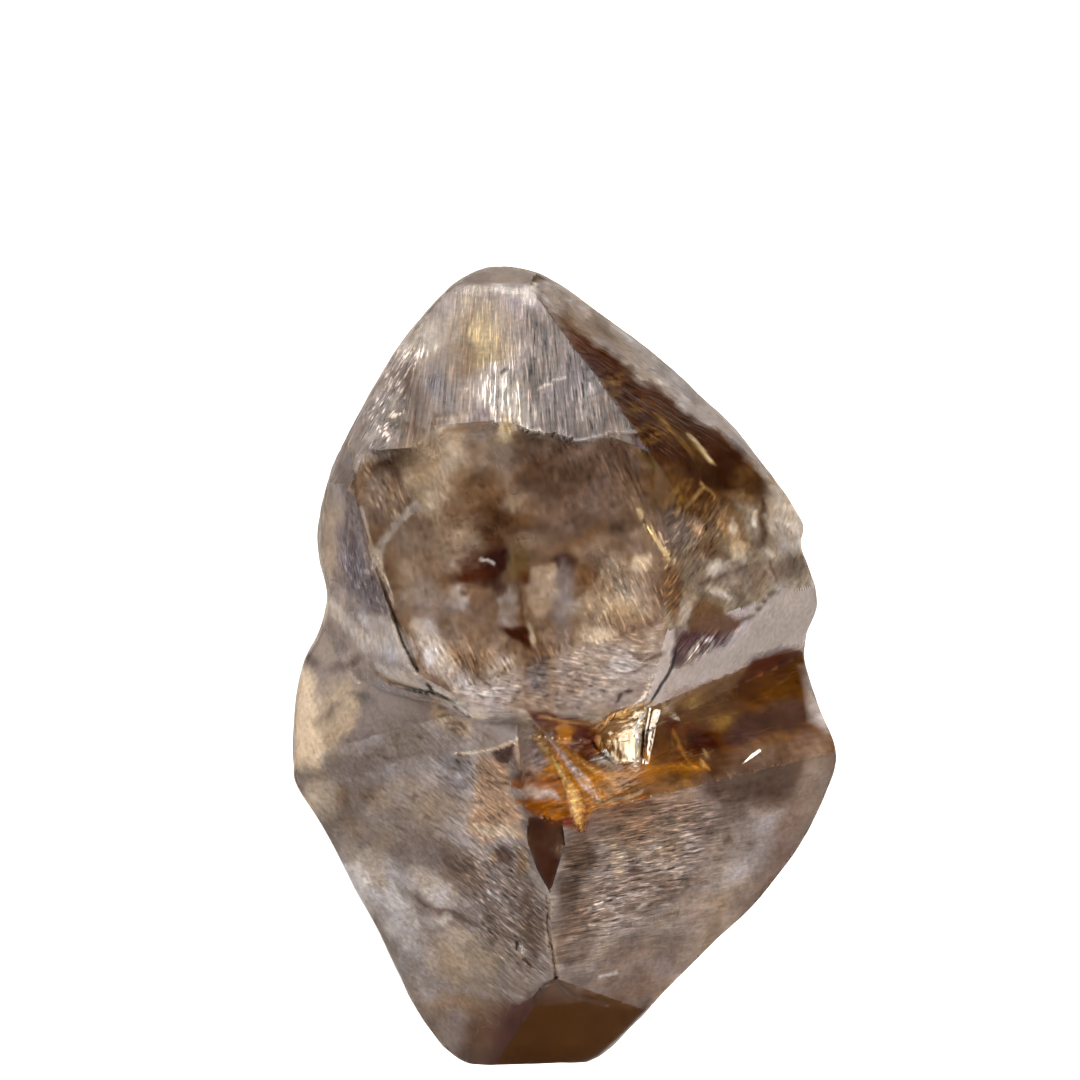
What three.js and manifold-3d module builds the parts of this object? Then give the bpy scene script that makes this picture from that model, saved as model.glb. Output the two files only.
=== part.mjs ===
// Rough diamond: two brown octahedral crystals that grew through one another, about three carats.
// Millimetres. The stone lies on the broad flat face at its back: +Z is up, out of the stone's front,
// +Y points to the tip of the upper crystal, and +X is to the right of a viewer who looks down on it.
import * as THREE from 'three';
import { mergeVertices } from 'three/addons/utils/BufferGeometryUtils.js';
import Module from 'manifold-3d';

const wasm = await Module();
wasm.setup();

// ---- Driving dimensions ------------------------------------------------------------------------
// Heights here are from the plane of the widest outline. The rest face is lowered to z = 0 at the end.
const LENGTH = 10; // tip of the upper crystal to the broken foot of the lower one
const REST_DEPTH = 2.65; // from the plane of the outline down to the face that it rests on
const PLATE_STEP = 0.11; // the last growth plate stands this far above the clear face below it
const TEAR_DEPTH = 0.22; // the long drop-shaped pit on the lower crystal's front edge
const REACH = 8; // beyond every part of the stone
const OUTLINE_STEPS = 120; // straight pieces around the outline

// The outline of the widest section, seen from the front: x and y from its middle, clockwise from the tip.
const OUTLINE = [
  [-0.79, 5.01], [-0.29, 4.89], [0.19, 4.59], [1.16, 3.87], [2.02, 3.08], [2.55, 2.42], [2.88, 1.92],
  [2.98, 1.72], [2.93, 1.48], [3.05, 1.13], [3.14, 0.74], [3.02, 0.41], [2.99, 0.01], [3.14, -0.5],
  [3.35, -0.98], [3.35, -1.34], [3.02, -2.1], [2.39, -2.91], [1.72, -3.58], [0.9, -4.47],
  [0.57, -4.8], [0.29, -5.04], [-1.19, -5.04], [-1.46, -4.84], [-1.92, -4.2], [-2.3, -3.35],
  [-2.86, -2.26], [-3.3, -1.52], [-3.35, -1.19], [-3.38, -0.5], [-3.27, 0.04], [-3.05, 0.46],
  [-2.95, 0.89], [-3.04, 1.32], [-3.05, 1.76], [-2.9, 2.45], [-2.5, 3.28], [-1.98, 4.06],
  [-1.41, 4.71], [-0.99, 4.98],
];

// The edge of the last growth plate on the front, left to right, in shallow scallops.
const PLATE_EDGE = [
  [-9, 2.6], [-2.3, 2.66], [-1.67, 2.7], [-1.6, 2.95], [-0.92, 3.02], [-0.41, 2.89],
  [0.14, 2.77], [0.47, 2.83], [0.54, 2.95], [0.89, 2.86], [9, 2.6],
];

// The pit: a drop whose point is down, on the edge between the lower crystal's front faces.
const TEAR = { x: -0.23, top: -1.78, bottom: -2.74, halfWidth: 0.22, height: 2.0, slope: 28 };

// ---- Faces -------------------------------------------------------------------------------------
// A face looks towards a compass bearing (0 is +X, 90 is +Y) and leans by slope from lying flat and
// facing up: 90 stands on edge and more than 90 faces down. It passes through the point at.
function face(bearing, slope, at) {
  const b = THREE.MathUtils.degToRad(bearing);
  const s = THREE.MathUtils.degToRad(slope);
  const out = new THREE.Vector3(Math.cos(b) * Math.sin(s), Math.sin(b) * Math.sin(s), Math.cos(s));
  return new THREE.Plane().setFromNormalAndCoplanarPoint(out, new THREE.Vector3(...at));
}

const clearFace = face(118, 20, [0.9, 2.86, 1.7]); // the clear face below the growth plate

const upperFaces = [
  face(90, 62, [-0.9, 4.7, 0.38]), // small cap at the tip
  face(92, 34, [-0.9, 4.69, 0.36]), // last growth plate, down the front
  clearFace,
  face(54, 60.5, [0.89, 2.86, 1.7]), // right face
  face(185, 60, [-2.3, 1.21, 1.7]), // left face
  face(147, 62, [-1.95, 3.3, 1.27]), // bevel along the plate's left side
  face(225, 4, [0.2, 0.3, 2.42]), // belly
  face(17, 48, [1.22, 1.6, 2.17]), // right face, turning down to the rim
  face(338, 55, [1.32, 0.41, 2.41]), // band along the rim at the right
  face(229, 64, [-1.55, -0.31, 2.22]), // under the rim, left
  face(269, 74, [-0.2, -0.63, 2.25]), // under the rim, middle
  face(302, 79, [1.08, -0.45, 2.28]), // under the rim, right
  face(105, 145, [-0.6, 4.75, -0.6]), // back, at the tip
  face(21, 130, [2.4, 1.8, -1.2]), // back, right
  face(161, 128, [-2.4, 1.6, -1.1]), // back, left
  face(262, 122, [0, -1.1, -2.2]), // back, towards the lower crystal
];

const lowerFaces = [
  face(221.5, 40, [-0.23, -2, 2.1]), // left face
  face(320, 37.5, [-0.23, -2, 2.1]), // right face
  face(159, 44, [-1.55, -0.31, 1.95]), // left face, above its widest line
  face(82, 42, [-0.9, -0.62, 2.15]), // where the left face dips under the rim
  face(285, 50, [-0.12, -3.8, 1.16]), // smooth break towards the foot
  face(127, 65, [-2.93, 0.57, 0.5]), // left shoulder
  face(215, 133, [-2.1, -2.6, -1.75]), // back, left
  face(324, 130, [1.9, -2.6, -1.6]), // back, right
  face(270, 146, [0, -4.3, -1.6]), // back, at the foot
  face(97, 124, [0, 0.2, -2.4]), // back, towards the upper crystal
];

// The gap under the rim, right of the middle: its floor, and the wall that closes it at the left.
const gapFloor = face(65, 37.5, [-0.23, -1.88, 2.18]);
const gapWall = face(6, 87, [-0.54, -0.9, 2]);

const foot = face(270, 90, [0, -LENGTH / 2, 0]); // the flat broken end
const rest = face(0, 180, [0, 0, -REST_DEPTH]); // the flat back that it lies on

// ---- Solids ------------------------------------------------------------------------------------
function toSolid(geometry) {
  geometry.deleteAttribute('normal');
  geometry.deleteAttribute('uv');
  const merged = mergeVertices(geometry, 1e-4);
  return new wasm.Manifold(new wasm.Mesh({
    numProp: 3,
    vertProperties: Float32Array.from(merged.attributes.position.array),
    triVerts: Uint32Array.from(merged.index.array),
  }));
}

function toGeometry(solid) {
  const mesh = solid.getMesh();
  const geometry = new THREE.BufferGeometry();
  geometry.setAttribute('position', new THREE.BufferAttribute(mesh.vertProperties, 3));
  geometry.setIndex(new THREE.BufferAttribute(mesh.triVerts, 1));
  return geometry;
}

// A column that stands on a flat shape, from one height to another.
function column(shape, from, to) {
  const geometry = new THREE.ExtrudeGeometry(shape, { depth: to - from, bevelEnabled: false });
  return toSolid(geometry.translate(0, 0, from));
}

// Keeps what is behind a face.
function cutTo(solid, plane) {
  return solid.trimByPlane(plane.normal.clone().negate().toArray(), plane.constant);
}

// Keeps what is in front of a face.
function cutAway(solid, plane) {
  return solid.trimByPlane(plane.normal.toArray(), -plane.constant);
}

function outlineColumn() {
  const curve = new THREE.CatmullRomCurve3(OUTLINE.map(([x, y]) => new THREE.Vector3(x, y, 0)), true);
  const rim = curve.getSpacedPoints(OUTLINE_STEPS).slice(0, -1).map((p) => new THREE.Vector2(p.x, p.y));
  return column(new THREE.Shape(rim), -REACH, REACH);
}

const block = () => toSolid(new THREE.BoxGeometry(2 * REACH, 2 * REACH, 2 * REACH));

function upperCrystal() {
  const full = upperFaces.reduce(cutTo, block());
  const aboveEdge = [...PLATE_EDGE, [9, 9], [-9, 9]].map(([x, y]) => new THREE.Vector2(x, y));
  const plate = full.intersect(column(new THREE.Shape(aboveEdge), -REACH, REACH));
  const lowered = clearFace.clone();
  lowered.constant += PLATE_STEP;
  return cutTo(full, lowered).add(plate);
}

function tearPit() {
  const shape = new THREE.Shape();
  const middle = TEAR.top - TEAR.halfWidth;
  shape.moveTo(0, TEAR.bottom - middle);
  shape.quadraticCurveTo(TEAR.halfWidth, -TEAR.halfWidth, TEAR.halfWidth, 0);
  shape.absarc(0, 0, TEAR.halfWidth, 0, Math.PI, false);
  shape.quadraticCurveTo(-TEAR.halfWidth, -TEAR.halfWidth, 0, TEAR.bottom - middle);
  const depth = new THREE.ExtrudeGeometry(shape, { depth: 1, bevelEnabled: false, curveSegments: 5 });
  depth.rotateX(THREE.MathUtils.degToRad(TEAR.slope));
  return toSolid(depth.translate(TEAR.x, middle, TEAR.height - TEAR_DEPTH));
}

function lowerCrystal() {
  const gap = [gapFloor, gapWall].reduce(cutAway, block());
  return lowerFaces.reduce(cutTo, block()).subtract(gap).subtract(tearPit());
}

// ---- The stone ---------------------------------------------------------------------------------
function stoneGeometry() {
  const joined = upperCrystal().add(lowerCrystal()).intersect(outlineColumn());
  const geometry = toGeometry([foot, rest].reduce(cutTo, joined));
  geometry.computeBoundingBox();
  const middle = geometry.boundingBox.getCenter(new THREE.Vector3());
  return geometry.translate(-middle.x, -middle.y, REST_DEPTH);
}

const brownDiamond = new THREE.MeshStandardMaterial({
  color: '#96877d', roughness: 0.35, metalness: 0, transparent: true, opacity: 0.9, flatShading: true,
});

const stone = new THREE.Mesh(stoneGeometry(), brownDiamond);
stone.name = 'rough_diamond';

const roughDiamond = new THREE.Group();
roughDiamond.add(stone);

export default roughDiamond;
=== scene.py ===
"""Looks of a rough diamond: two brown octahedral crystals grown through one another, etched by the melt.

The stone is one see-through mesh on the plan of the CAD solid's faces, with worn edges, growth steps, etch
lines, cracks and pits. Iron-stained fractures, dark clouds and silvery feathers are sealed in it. A few
bright sheets on and just under the front carry painted highlights, and one carries the bright facet's painted
glow.
"""
import math

import bmesh
import bpy
import numpy as np
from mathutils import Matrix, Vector
from mathutils.kdtree import KDTree


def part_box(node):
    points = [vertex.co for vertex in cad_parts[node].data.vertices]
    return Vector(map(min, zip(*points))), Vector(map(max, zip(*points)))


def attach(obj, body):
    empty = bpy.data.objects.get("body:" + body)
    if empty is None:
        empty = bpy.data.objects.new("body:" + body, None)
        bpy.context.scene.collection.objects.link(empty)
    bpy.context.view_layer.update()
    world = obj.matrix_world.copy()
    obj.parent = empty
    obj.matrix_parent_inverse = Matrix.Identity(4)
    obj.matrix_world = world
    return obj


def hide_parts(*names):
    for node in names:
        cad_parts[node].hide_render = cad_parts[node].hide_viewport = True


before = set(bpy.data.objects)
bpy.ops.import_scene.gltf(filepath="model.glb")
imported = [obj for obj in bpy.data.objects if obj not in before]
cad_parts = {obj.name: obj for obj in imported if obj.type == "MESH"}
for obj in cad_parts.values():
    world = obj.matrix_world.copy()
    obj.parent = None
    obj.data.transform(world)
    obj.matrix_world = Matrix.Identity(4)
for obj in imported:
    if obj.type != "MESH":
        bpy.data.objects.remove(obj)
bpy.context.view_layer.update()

STONE = "rough_diamond"
MM = 0.001

# ================================================================================================
# Plan of the stone, in millimetres, as in the CAD: x to the right, y to the tip, z out of the front,
# from the middle of the widest outline.
# ================================================================================================
LENGTH = 10.0
REST_DEPTH = 2.65      # down to the flat back that the stone lies on
CRISP = 0.008          # rounding of the edges that stayed sharp
SOFT = 0.12            # rounding where one face swells into the next
WORN = 0.06            # rounding of the edges that the melt dissolved
GIRDLE = 0.05          # rounding along the outline
JOIN = 0.01            # rounding of the valley where the crystals meet
SWELL = 0.022          # slow swells that leave no face truly plane
HEART = np.array([-0.7, -0.4, 0.0])      # every face lies across the ray from here
FARTHEST, HALVINGS = 8.0, 26             # a ray this long ends outside, and is halved this often
GRID_CELLS, QUICK_CELLS = 127, 64        # along each side of the cube whose grid becomes the mesh
SHARP_ANGLE = 30                         # edges that turn by more degrees than this are shaded as creases

OUTLINE = [
    (-0.79, 5.01), (-0.29, 4.89), (0.19, 4.59), (1.16, 3.87), (2.02, 3.08), (2.55, 2.42),
    (2.88, 1.92), (2.98, 1.72), (2.93, 1.48), (3.05, 1.13), (3.14, 0.74), (3.02, 0.41),
    (2.99, 0.01), (3.14, -0.5), (3.35, -0.98), (3.35, -1.34), (3.02, -2.1), (2.39, -2.91),
    (1.72, -3.58), (0.9, -4.47), (0.58, -4.79), (0.38, -4.96), (0.08, -5.05), (-0.85, -5.05),
    (-1.22, -4.99), (-1.43, -4.86), (-1.6, -4.68), (-1.92, -4.2), (-2.3, -3.35), (-2.86, -2.26),
    (-3.3, -1.52), (-3.35, -1.19), (-3.38, -0.5), (-3.27, 0.04), (-3.05, 0.46), (-2.95, 0.89),
    (-3.04, 1.32), (-3.05, 1.76), (-2.9, 2.45), (-2.5, 3.28), (-1.98, 4.06), (-1.41, 4.71),
    (-0.99, 4.98),
]


def face(bearing, slope, at):
    """A plane that looks towards a compass bearing and leans by slope from lying flat and facing up."""
    b, s = math.radians(bearing), math.radians(slope)
    out = np.array([math.cos(b) * math.sin(s), math.sin(b) * math.sin(s), math.cos(s)])
    return out, float(out @ np.array(at))


UPPER = {
    "crisp": {
        "tip cap": face(90, 62, (-0.9, 4.7, 0.38)),
        "last plate": face(92, 34, (-0.9, 4.69, 0.36)),             # the last growth plate, down the front
        "clear face": face(118, 20, (0.9, 2.86, 1.7)),
        "right face": face(54, 60.5, (0.81, 2.86, 1.7)),
        "left face": face(185, 60, (-2.3, 1.21, 1.7)),
        "plate bevel": face(147, 62, (-1.95, 3.3, 1.27)),           # along the plate's left side
    },
    "soft": {
        "belly": face(225, 4, (0.2, 0.3, 2.42)),
        "right shoulder": face(17, 48, (1.22, 1.6, 2.17)),          # right face, turning down to the rim
    },
    "worn": {
        "rim band": face(338, 55, (1.32, 0.41, 2.41)),              # along the rim at the right
        "rim left": face(229, 64, (-1.55, -0.31, 2.22)),
        "rim middle": face(269, 74, (-0.2, -0.63, 2.25)),
        "rim right": face(302, 79, (1.08, -0.45, 2.28)),
        "upper back tip": face(105, 145, (-0.6, 4.75, -0.6)),
        "upper back right": face(21, 130, (2.4, 1.8, -1.2)),
        "upper back left": face(161, 128, (-2.4, 1.6, -1.1)),
        "upper back end": face(262, 122, (0, -1.1, -2.2)),
    },
}

LOWER = {
    "crisp": {
        "lower left face": face(221.5, 40, (-0.23, -2, 2.1)),
        "lower right face": face(320, 37.5, (-0.23, -2, 2.1)),
        "foot": face(285, 50, (-0.12, -3.8, 1.16)),                 # smooth break
    },
    "soft": {
        "left slope": face(159, 44, (-1.55, -0.31, 1.95)),          # left face, above its widest line
        "rim dip": face(82, 42, (-0.9, -0.62, 2.15)),               # where the left face dips under the rim
    },
    "worn": {
        "left shoulder": face(127, 65, (-2.93, 0.57, 0.5)),
        "lower back left": face(215, 133, (-2.1, -2.6, -1.75)),
        "lower back right": face(324, 130, (1.9, -2.6, -1.6)),
        "lower back foot": face(270, 146, (0, -4.3, -1.6)),
        "lower back end": face(97, 124, (0, 0.2, -2.4)),
    },
}

GAP = {
    "gap floor": face(65, 37.5, (-0.23, -1.88, 2.18)),              # under the rim, right of the middle
    "gap wall": face(6, 87, (-0.54, -0.9, 2.0)),                    # closes the gap at the left
}


# ---- Small tools -------------------------------------------------------------------------------
def ease(value, low, high):
    """0 below low, 1 above high, with soft ends."""
    t = np.clip((value - low) / (high - low), 0.0, 1.0)
    return t * t * (3 - 2 * t)


def noise(p, size, seed):
    """Smooth random values from -1 to 1 that change over about size mm. p has 1, 2 or 3 columns."""
    q = np.atleast_2d(p) / size + seed * 17.31
    cell = np.floor(q).astype(np.int64)
    part = q - cell
    part = part * part * part * (part * (part * 6 - 15) + 10)
    total = np.zeros(len(q))
    for corner in range(2 ** q.shape[1]):
        weight = np.ones(len(q))
        h = np.full(len(q), seed * 1013 + 7, np.int64)
        for axis in range(q.shape[1]):
            bit = corner >> axis & 1
            weight *= part[:, axis] if bit else 1 - part[:, axis]
            h = (h ^ (cell[:, axis] + bit) * (73856093, 19349663, 83492791)[axis]) * 2654435761 & 0xFFFFFFFF
            h ^= h >> 15
        h = h * 2246822519 & 0xFFFFFFFF
        total += weight * ((h ^ h >> 13) & 0xFFFF) / 65535
    return total * 2 - 1


def clouds(p, size, seed, octaves=4):
    """Noise with finer and finer detail, from about -1 to 1."""
    total, height, reach = 0.0, 1.0, 0.0
    for k in range(octaves):
        total = total + height * noise(p, size / 2 ** k, seed + k)
        reach += height
        height *= 0.55
    return total / reach * 1.5


def chips(q, size, seed):
    """A random value from -1 to 1 for each angular patch, about size mm across. q has 2 columns."""
    q = q / size
    base = np.floor(q).astype(np.int64)
    best, value = np.full(len(q), np.inf), np.zeros(len(q))
    for dx in (-1, 0, 1):
        for dy in (-1, 0, 1):
            cell = base + (dx, dy)
            h = (cell[:, 0] * 73856093 ^ cell[:, 1] * 19349663 ^ seed * 83492791) & 0xFFFFFFFF
            h = (h ^ h >> 13) * 2654435761 & 0xFFFFFFFF
            h = (h ^ h >> 15) * 2246822519 & 0xFFFFFFFF
            spot = cell + np.stack([h & 0x3FF, h >> 10 & 0x3FF], -1) / 1023
            d = ((q - spot) ** 2).sum(1)
            value = np.where(d < best, (h >> 20 & 0x3FF) / 511.5 - 1, value)
            best = np.minimum(best, d)
    return value


def along(points, x, y):
    """Distance from each (x, y) to a line through the points, and how far along it, 0 to 1."""
    pts = np.array(points, float)
    best = np.full(len(x), 1e9)
    where = np.zeros(len(x))
    lengths = np.hypot(*np.diff(pts, axis=0).T)
    start = np.concatenate([[0], np.cumsum(lengths)])
    for k, ((ax, ay), (bx, by)) in enumerate(zip(pts[:-1], pts[1:])):
        t = np.clip(((x - ax) * (bx - ax) + (y - ay) * (by - ay)) / lengths[k] ** 2, 0, 1)
        d = np.hypot(x - ax - t * (bx - ax), y - ay - t * (by - ay))
        near = d < best
        best = np.where(near, d, best)
        where = np.where(near, (start[k] + t * lengths[k]) / start[-1], where)
    return best, where


def within(points, x, y):
    """Signed distance to a closed outline: below zero inside."""
    pts = np.array(list(points) + [points[0]], float)
    distance, _ = along(pts, x, y)
    inside = np.zeros(len(x), bool)
    for (ax, ay), (bx, by) in zip(pts[:-1], pts[1:]):
        if ay != by:
            crosses = (ay > y) != (by > y)
            inside ^= crosses & (x < (bx - ax) * (y - ay) / (by - ay) + ax)
    return np.where(inside, -distance, distance)


# ---- Surface -----------------------------------------------------------------------------------
def smooth_closed(points, steps=8):
    """A closed Catmull-Rom curve through the points."""
    p = np.array(points, float)
    t = np.linspace(0, 1, steps, endpoint=False)[:, None]
    out = []
    for k in range(len(p)):
        a, b, c, d = p[k - 1], p[k], p[(k + 1) % len(p)], p[(k + 2) % len(p)]
        out.append(0.5 * (2 * b + (c - a) * t + (2 * a - 5 * b + 4 * c - d) * t ** 2
                          + (3 * b - a - 3 * c + d) * t ** 3))
    return np.concatenate(out)


RIM = smooth_closed(OUTLINE)
RIM_ANGLE = np.arctan2(RIM[:, 1], RIM[:, 0])
RIM_ORDER = np.argsort(RIM_ANGLE)
RIM_RADIUS = np.hypot(RIM[:, 0], RIM[:, 1])[RIM_ORDER]
RIM_ANGLE = RIM_ANGLE[RIM_ORDER]


def beyond_outline(p):
    reach = np.interp(np.arctan2(p[:, 1], p[:, 0]), RIM_ANGLE, RIM_RADIUS, period=2 * math.pi)
    return np.hypot(p[:, 0], p[:, 1]) - reach


def largest(distances, radius):
    """The largest of some distances, blended over about the radius, which rounds the edge between them."""
    d = np.array(distances)
    top = d.max(0)
    return top + radius * np.log(np.exp((d - top) / radius).sum(0))


def beyond_faces(p, faces):
    return [p @ out - reach for out, reach in faces.values()]


def swell(p):
    """Two long waves that cross one another, in mm."""
    x, y, z = p.T
    slow = np.sin(1.3 * x + 0.7 * y + 0.4) * np.sin(0.9 * y - 1.1 * z + 1.2)
    quick = np.sin(2.9 * y - 1.7 * x + 2.1) * np.sin(2.3 * z + 1.9 * x)
    return SWELL * (slow + 0.5 * quick)


def beyond_stone(p):
    """Below zero inside the stone, above zero outside it."""
    outline = beyond_outline(p)
    bodies = []
    for crystal in (UPPER, LOWER):
        front = largest(beyond_faces(p, crystal["crisp"]), CRISP)
        front = largest([front] + beyond_faces(p, crystal["soft"]), SOFT)
        bodies.append(largest([largest([front, outline], GIRDLE)] + beyond_faces(p, crystal["worn"]), WORN))
    gap = beyond_faces(p, GAP)
    gap = -largest([-gap[0], -gap[1]], JOIN)
    bodies[1] = largest([bodies[1], gap], CRISP)
    joined = -largest([-bodies[0], -bodies[1]], JOIN) + swell(p)
    return np.maximum(np.maximum(joined, -REST_DEPTH - p[:, 2]), -LENGTH / 2 - p[:, 1])


FACES = {name: plane for faces in (*UPPER.values(), *LOWER.values(), GAP) for name, plane in faces.items()}
DRAWN = ["golden window", "window bar", "tear"]
NAMES = [*FACES, "girdle", *DRAWN]


def every_distance(p):
    """How far outside each face the points are: a row a face, with the outline after each crystal's faces."""
    outline = beyond_outline(p)
    rows = []
    for crystal in (UPPER, LOWER):
        for faces in crystal.values():
            rows += beyond_faces(p, faces)
        rows.append(outline)
    return np.array(rows + beyond_faces(p, GAP))


ROWS = []
for crystal in (UPPER, LOWER):
    ROWS += [name for faces in crystal.values() for name in faces] + ["girdle"]
ROWS += list(GAP)
IN_UPPER = np.arange(len(ROWS)) <= ROWS.index("girdle")
IN_GAP = np.array([name in GAP for name in ROWS])
SHARP = np.array([name in UPPER["crisp"] or name in LOWER["crisp"] or name in GAP for name in ROWS])


def top_two(rows, chosen):
    """The rows with the largest and the second largest distance, among the chosen ones."""
    held = np.where(chosen[:, None], rows, -np.inf)
    first = held.argmax(0)
    np.put_along_axis(held, first[None], -np.inf, 0)
    return first, held.argmax(0)


def face_and_neighbour(rows):
    """The row that makes the surface at each point, and the row on the other side of its nearest edge."""
    def at(row):
        return np.take_along_axis(rows, row[None], 0)[0]
    up, up_next = top_two(rows, IN_UPPER)
    solid, solid_next = top_two(rows, ~IN_UPPER & ~IN_GAP)
    gap_next, gap = top_two(rows, IN_GAP)
    notched = at(gap) > at(solid)
    low = np.where(notched, gap, solid)
    inner = np.where(at(gap) > at(solid_next), gap, solid_next)
    beside = np.where(np.abs(at(gap) - at(gap_next)) < np.abs(at(gap) - at(solid)), gap_next, solid)
    low_next = np.where(notched, beside, inner)
    is_up = at(up) < at(low)
    mine, other = np.where(is_up, up, low), np.where(is_up, low, up)
    own_next = np.where(is_up, up_next, low_next)
    valley = np.abs(at(other) - at(mine)) < np.abs(at(own_next) - at(mine))
    return mine, np.where(valley, other, own_next)


def numbers_of(names):
    return np.array([NAMES.index(name) for name in names])


FRONT_FROM = 0.3       # the lines drawn on the front all lie higher than this, in mm


def face_under(p):
    """The number in NAMES of the face that each point of the surface lies on."""
    owner = numbers_of(ROWS)[face_and_neighbour(every_distance(p))[0]]
    x, y, z = p.T
    front = z > FRONT_FROM
    above = front & (y > plate_edge(x)) & np.isin(owner, numbers_of(("clear face", "left face")))
    plates = ("last plate", "plate bevel")
    lower = np.argmin([height_on(name, x, y) for name in plates], 0)
    owner = np.where(above, numbers_of(plates)[lower], owner)
    for name, outline in zip(DRAWN, (GOLD_WINDOW, WINDOW_BAR, TEAR)):
        owner = np.where(front & (within(outline, x, y) < 0), NAMES.index(name), owner)
    return owner


def spacing(points, quads):
    """Mean length of the edges at each point."""
    total, count = np.zeros(len(points)), np.zeros(len(points))
    for k in range(4):
        a, b = quads[:, k], quads[:, (k + 1) % 4]
        length = np.linalg.norm(points[a] - points[b], axis=1)
        for end in (a, b):
            np.add.at(total, end, length)
            np.add.at(count, end, 1)
    return total / count


NEARLY_FLAT = 0.985    # cosine of the turn between two faces whose edge is too slight to draw to


def draw_to_edges(points, reach):
    """Moves the points nearest to each sharp edge onto it, so that it runs straight, and says which."""
    rows = every_distance(points) + swell(points)
    mine, beside = face_and_neighbour(rows)
    normals = np.array([FACES[name][0] if name in FACES else (0, 0, 0) for name in ROWS])
    a, b = normals[mine], normals[beside]
    da, db = (np.take_along_axis(rows, row[None], 0)[0] for row in (mine, beside))
    c = (a * b).sum(1)
    spread = np.maximum(1 - c * c, 0.02)
    move = -((da - c * db) / spread)[:, None] * a - ((db - c * da) / spread)[:, None] * b
    near = SHARP[mine] & SHARP[beside] & (np.linalg.norm(move, axis=1) < reach) & (np.abs(c) < NEARLY_FLAT)
    return points + move * near[:, None], near


STEEPEST = 0.3         # how far up a normal looks at the least where a line is drawn


def draw_to_lines(points, normals, reach, lines):
    """Slides the points nearest to each line onto it, along the surface, and says which."""
    drawn = np.zeros(len(points), bool)
    for line in lines:
        pts = np.array(line, float)
        x, y = points[:, 0], points[:, 1]
        best, to = np.full(len(x), np.inf), np.zeros((len(x), 2))
        for (ax, ay), (bx, by) in zip(pts[:-1], pts[1:]):
            wx, wy = bx - ax, by - ay
            t = np.clip(((x - ax) * wx + (y - ay) * wy) / (wx ** 2 + wy ** 2), 0, 1)
            step = np.stack([ax + t * wx - x, ay + t * wy - y], -1)
            d = np.hypot(*step.T)
            to = np.where((d < best)[:, None], step, to)
            best = np.minimum(best, d)
        near = (best < reach) & (normals[:, 2] > STEEPEST)
        drop = (normals[:, :2] * to).sum(1) / np.maximum(normals[:, 2], STEEPEST)
        points = points + near[:, None] * np.stack([to[:, 0], to[:, 1], -drop], -1)
        drawn |= near
    return points, drawn


def split(points, quads, drawn):
    """Two triangles from each square face, cut along the edges and lines that its corners were drawn to."""
    a, b, c, d = quads.T
    one, other = (points[a] + points[c]) / 2, (points[b] + points[d]) / 2
    bend = np.abs(beyond_stone(other)) - np.abs(beyond_stone(one))
    bend += 0.01 * ((drawn[a] & drawn[c]).astype(float) - (drawn[b] & drawn[d]))
    first = (bend > 0)[:, None]
    half = np.where(first, np.stack([a, b, c], -1), np.stack([a, b, d], -1))
    rest = np.where(first, np.stack([a, c, d], -1), np.stack([b, c, d], -1))
    return np.concatenate([half, rest])


def wrapped_grid(cells):
    """Directions and square faces of a cube's grid blown up to a ball."""
    t = np.tan(np.linspace(-1, 1, cells + 1) * math.pi / 4)
    a, b = np.meshgrid(t, t, indexing="ij")
    one = np.ones_like(a)
    sheets = []
    for s in (1, -1):
        sheets += [(s * one, a, b * s), (a * s, s * one, -b), (a, b * s, s * one)]
    corners = np.concatenate([np.stack(sheet, -1).reshape(-1, 3) for sheet in sheets])
    corners /= np.linalg.norm(corners, axis=1)[:, None]
    row = np.arange(cells)[:, None] * (cells + 1) + np.arange(cells)[None]
    quad = np.stack([row, row + cells + 1, row + cells + 2, row + 1], -1).reshape(-1, 4)
    quads = np.concatenate([quad + k * (cells + 1) ** 2 for k in range(6)])
    _, first, same = np.unique(np.round(corners * 1e6).astype(np.int64), axis=0,
                               return_index=True, return_inverse=True)
    return corners[first], same.reshape(-1)[quads]


def crowd_front(directions, squeeze=0.62, spread=(3.4, 5.0, 2.8)):
    """Moves the directions towards the front, without stretching cells, and along the long stone."""
    x, y, z = directions.T
    z = np.maximum(z, -0.999999)
    wx, wy = squeeze * x / (1 + z), squeeze * y / (1 + z)
    q = wx ** 2 + wy ** 2
    out = np.stack([2 * wx / (1 + q), 2 * wy / (1 + q), (1 - q) / (1 + q)], -1) * np.array(spread)
    return out / np.linalg.norm(out, axis=1)[:, None]


def meet_surface(rays):
    """Where each ray from the heart leaves the stone, found by halving."""
    inside, outside = np.zeros(len(rays)), np.full(len(rays), FARTHEST)
    for _ in range(HALVINGS):
        middle = (inside + outside) / 2
        hit = beyond_stone(HEART + rays * middle[:, None]) < 0
        inside, outside = np.where(hit, middle, inside), np.where(hit, outside, middle)
    return HEART + rays * inside[:, None]


def corner_normals(points, quads):
    """The mean normal of the faces round each point."""
    a, b, c, d = (points[quads[:, k]] for k in range(4))
    flat = np.cross(c - a, d - b)
    total = np.zeros_like(points)
    for k in range(4):
        np.add.at(total, quads[:, k], flat)
    return total / np.maximum(np.linalg.norm(total, axis=1), 1e-12)[:, None]


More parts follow.
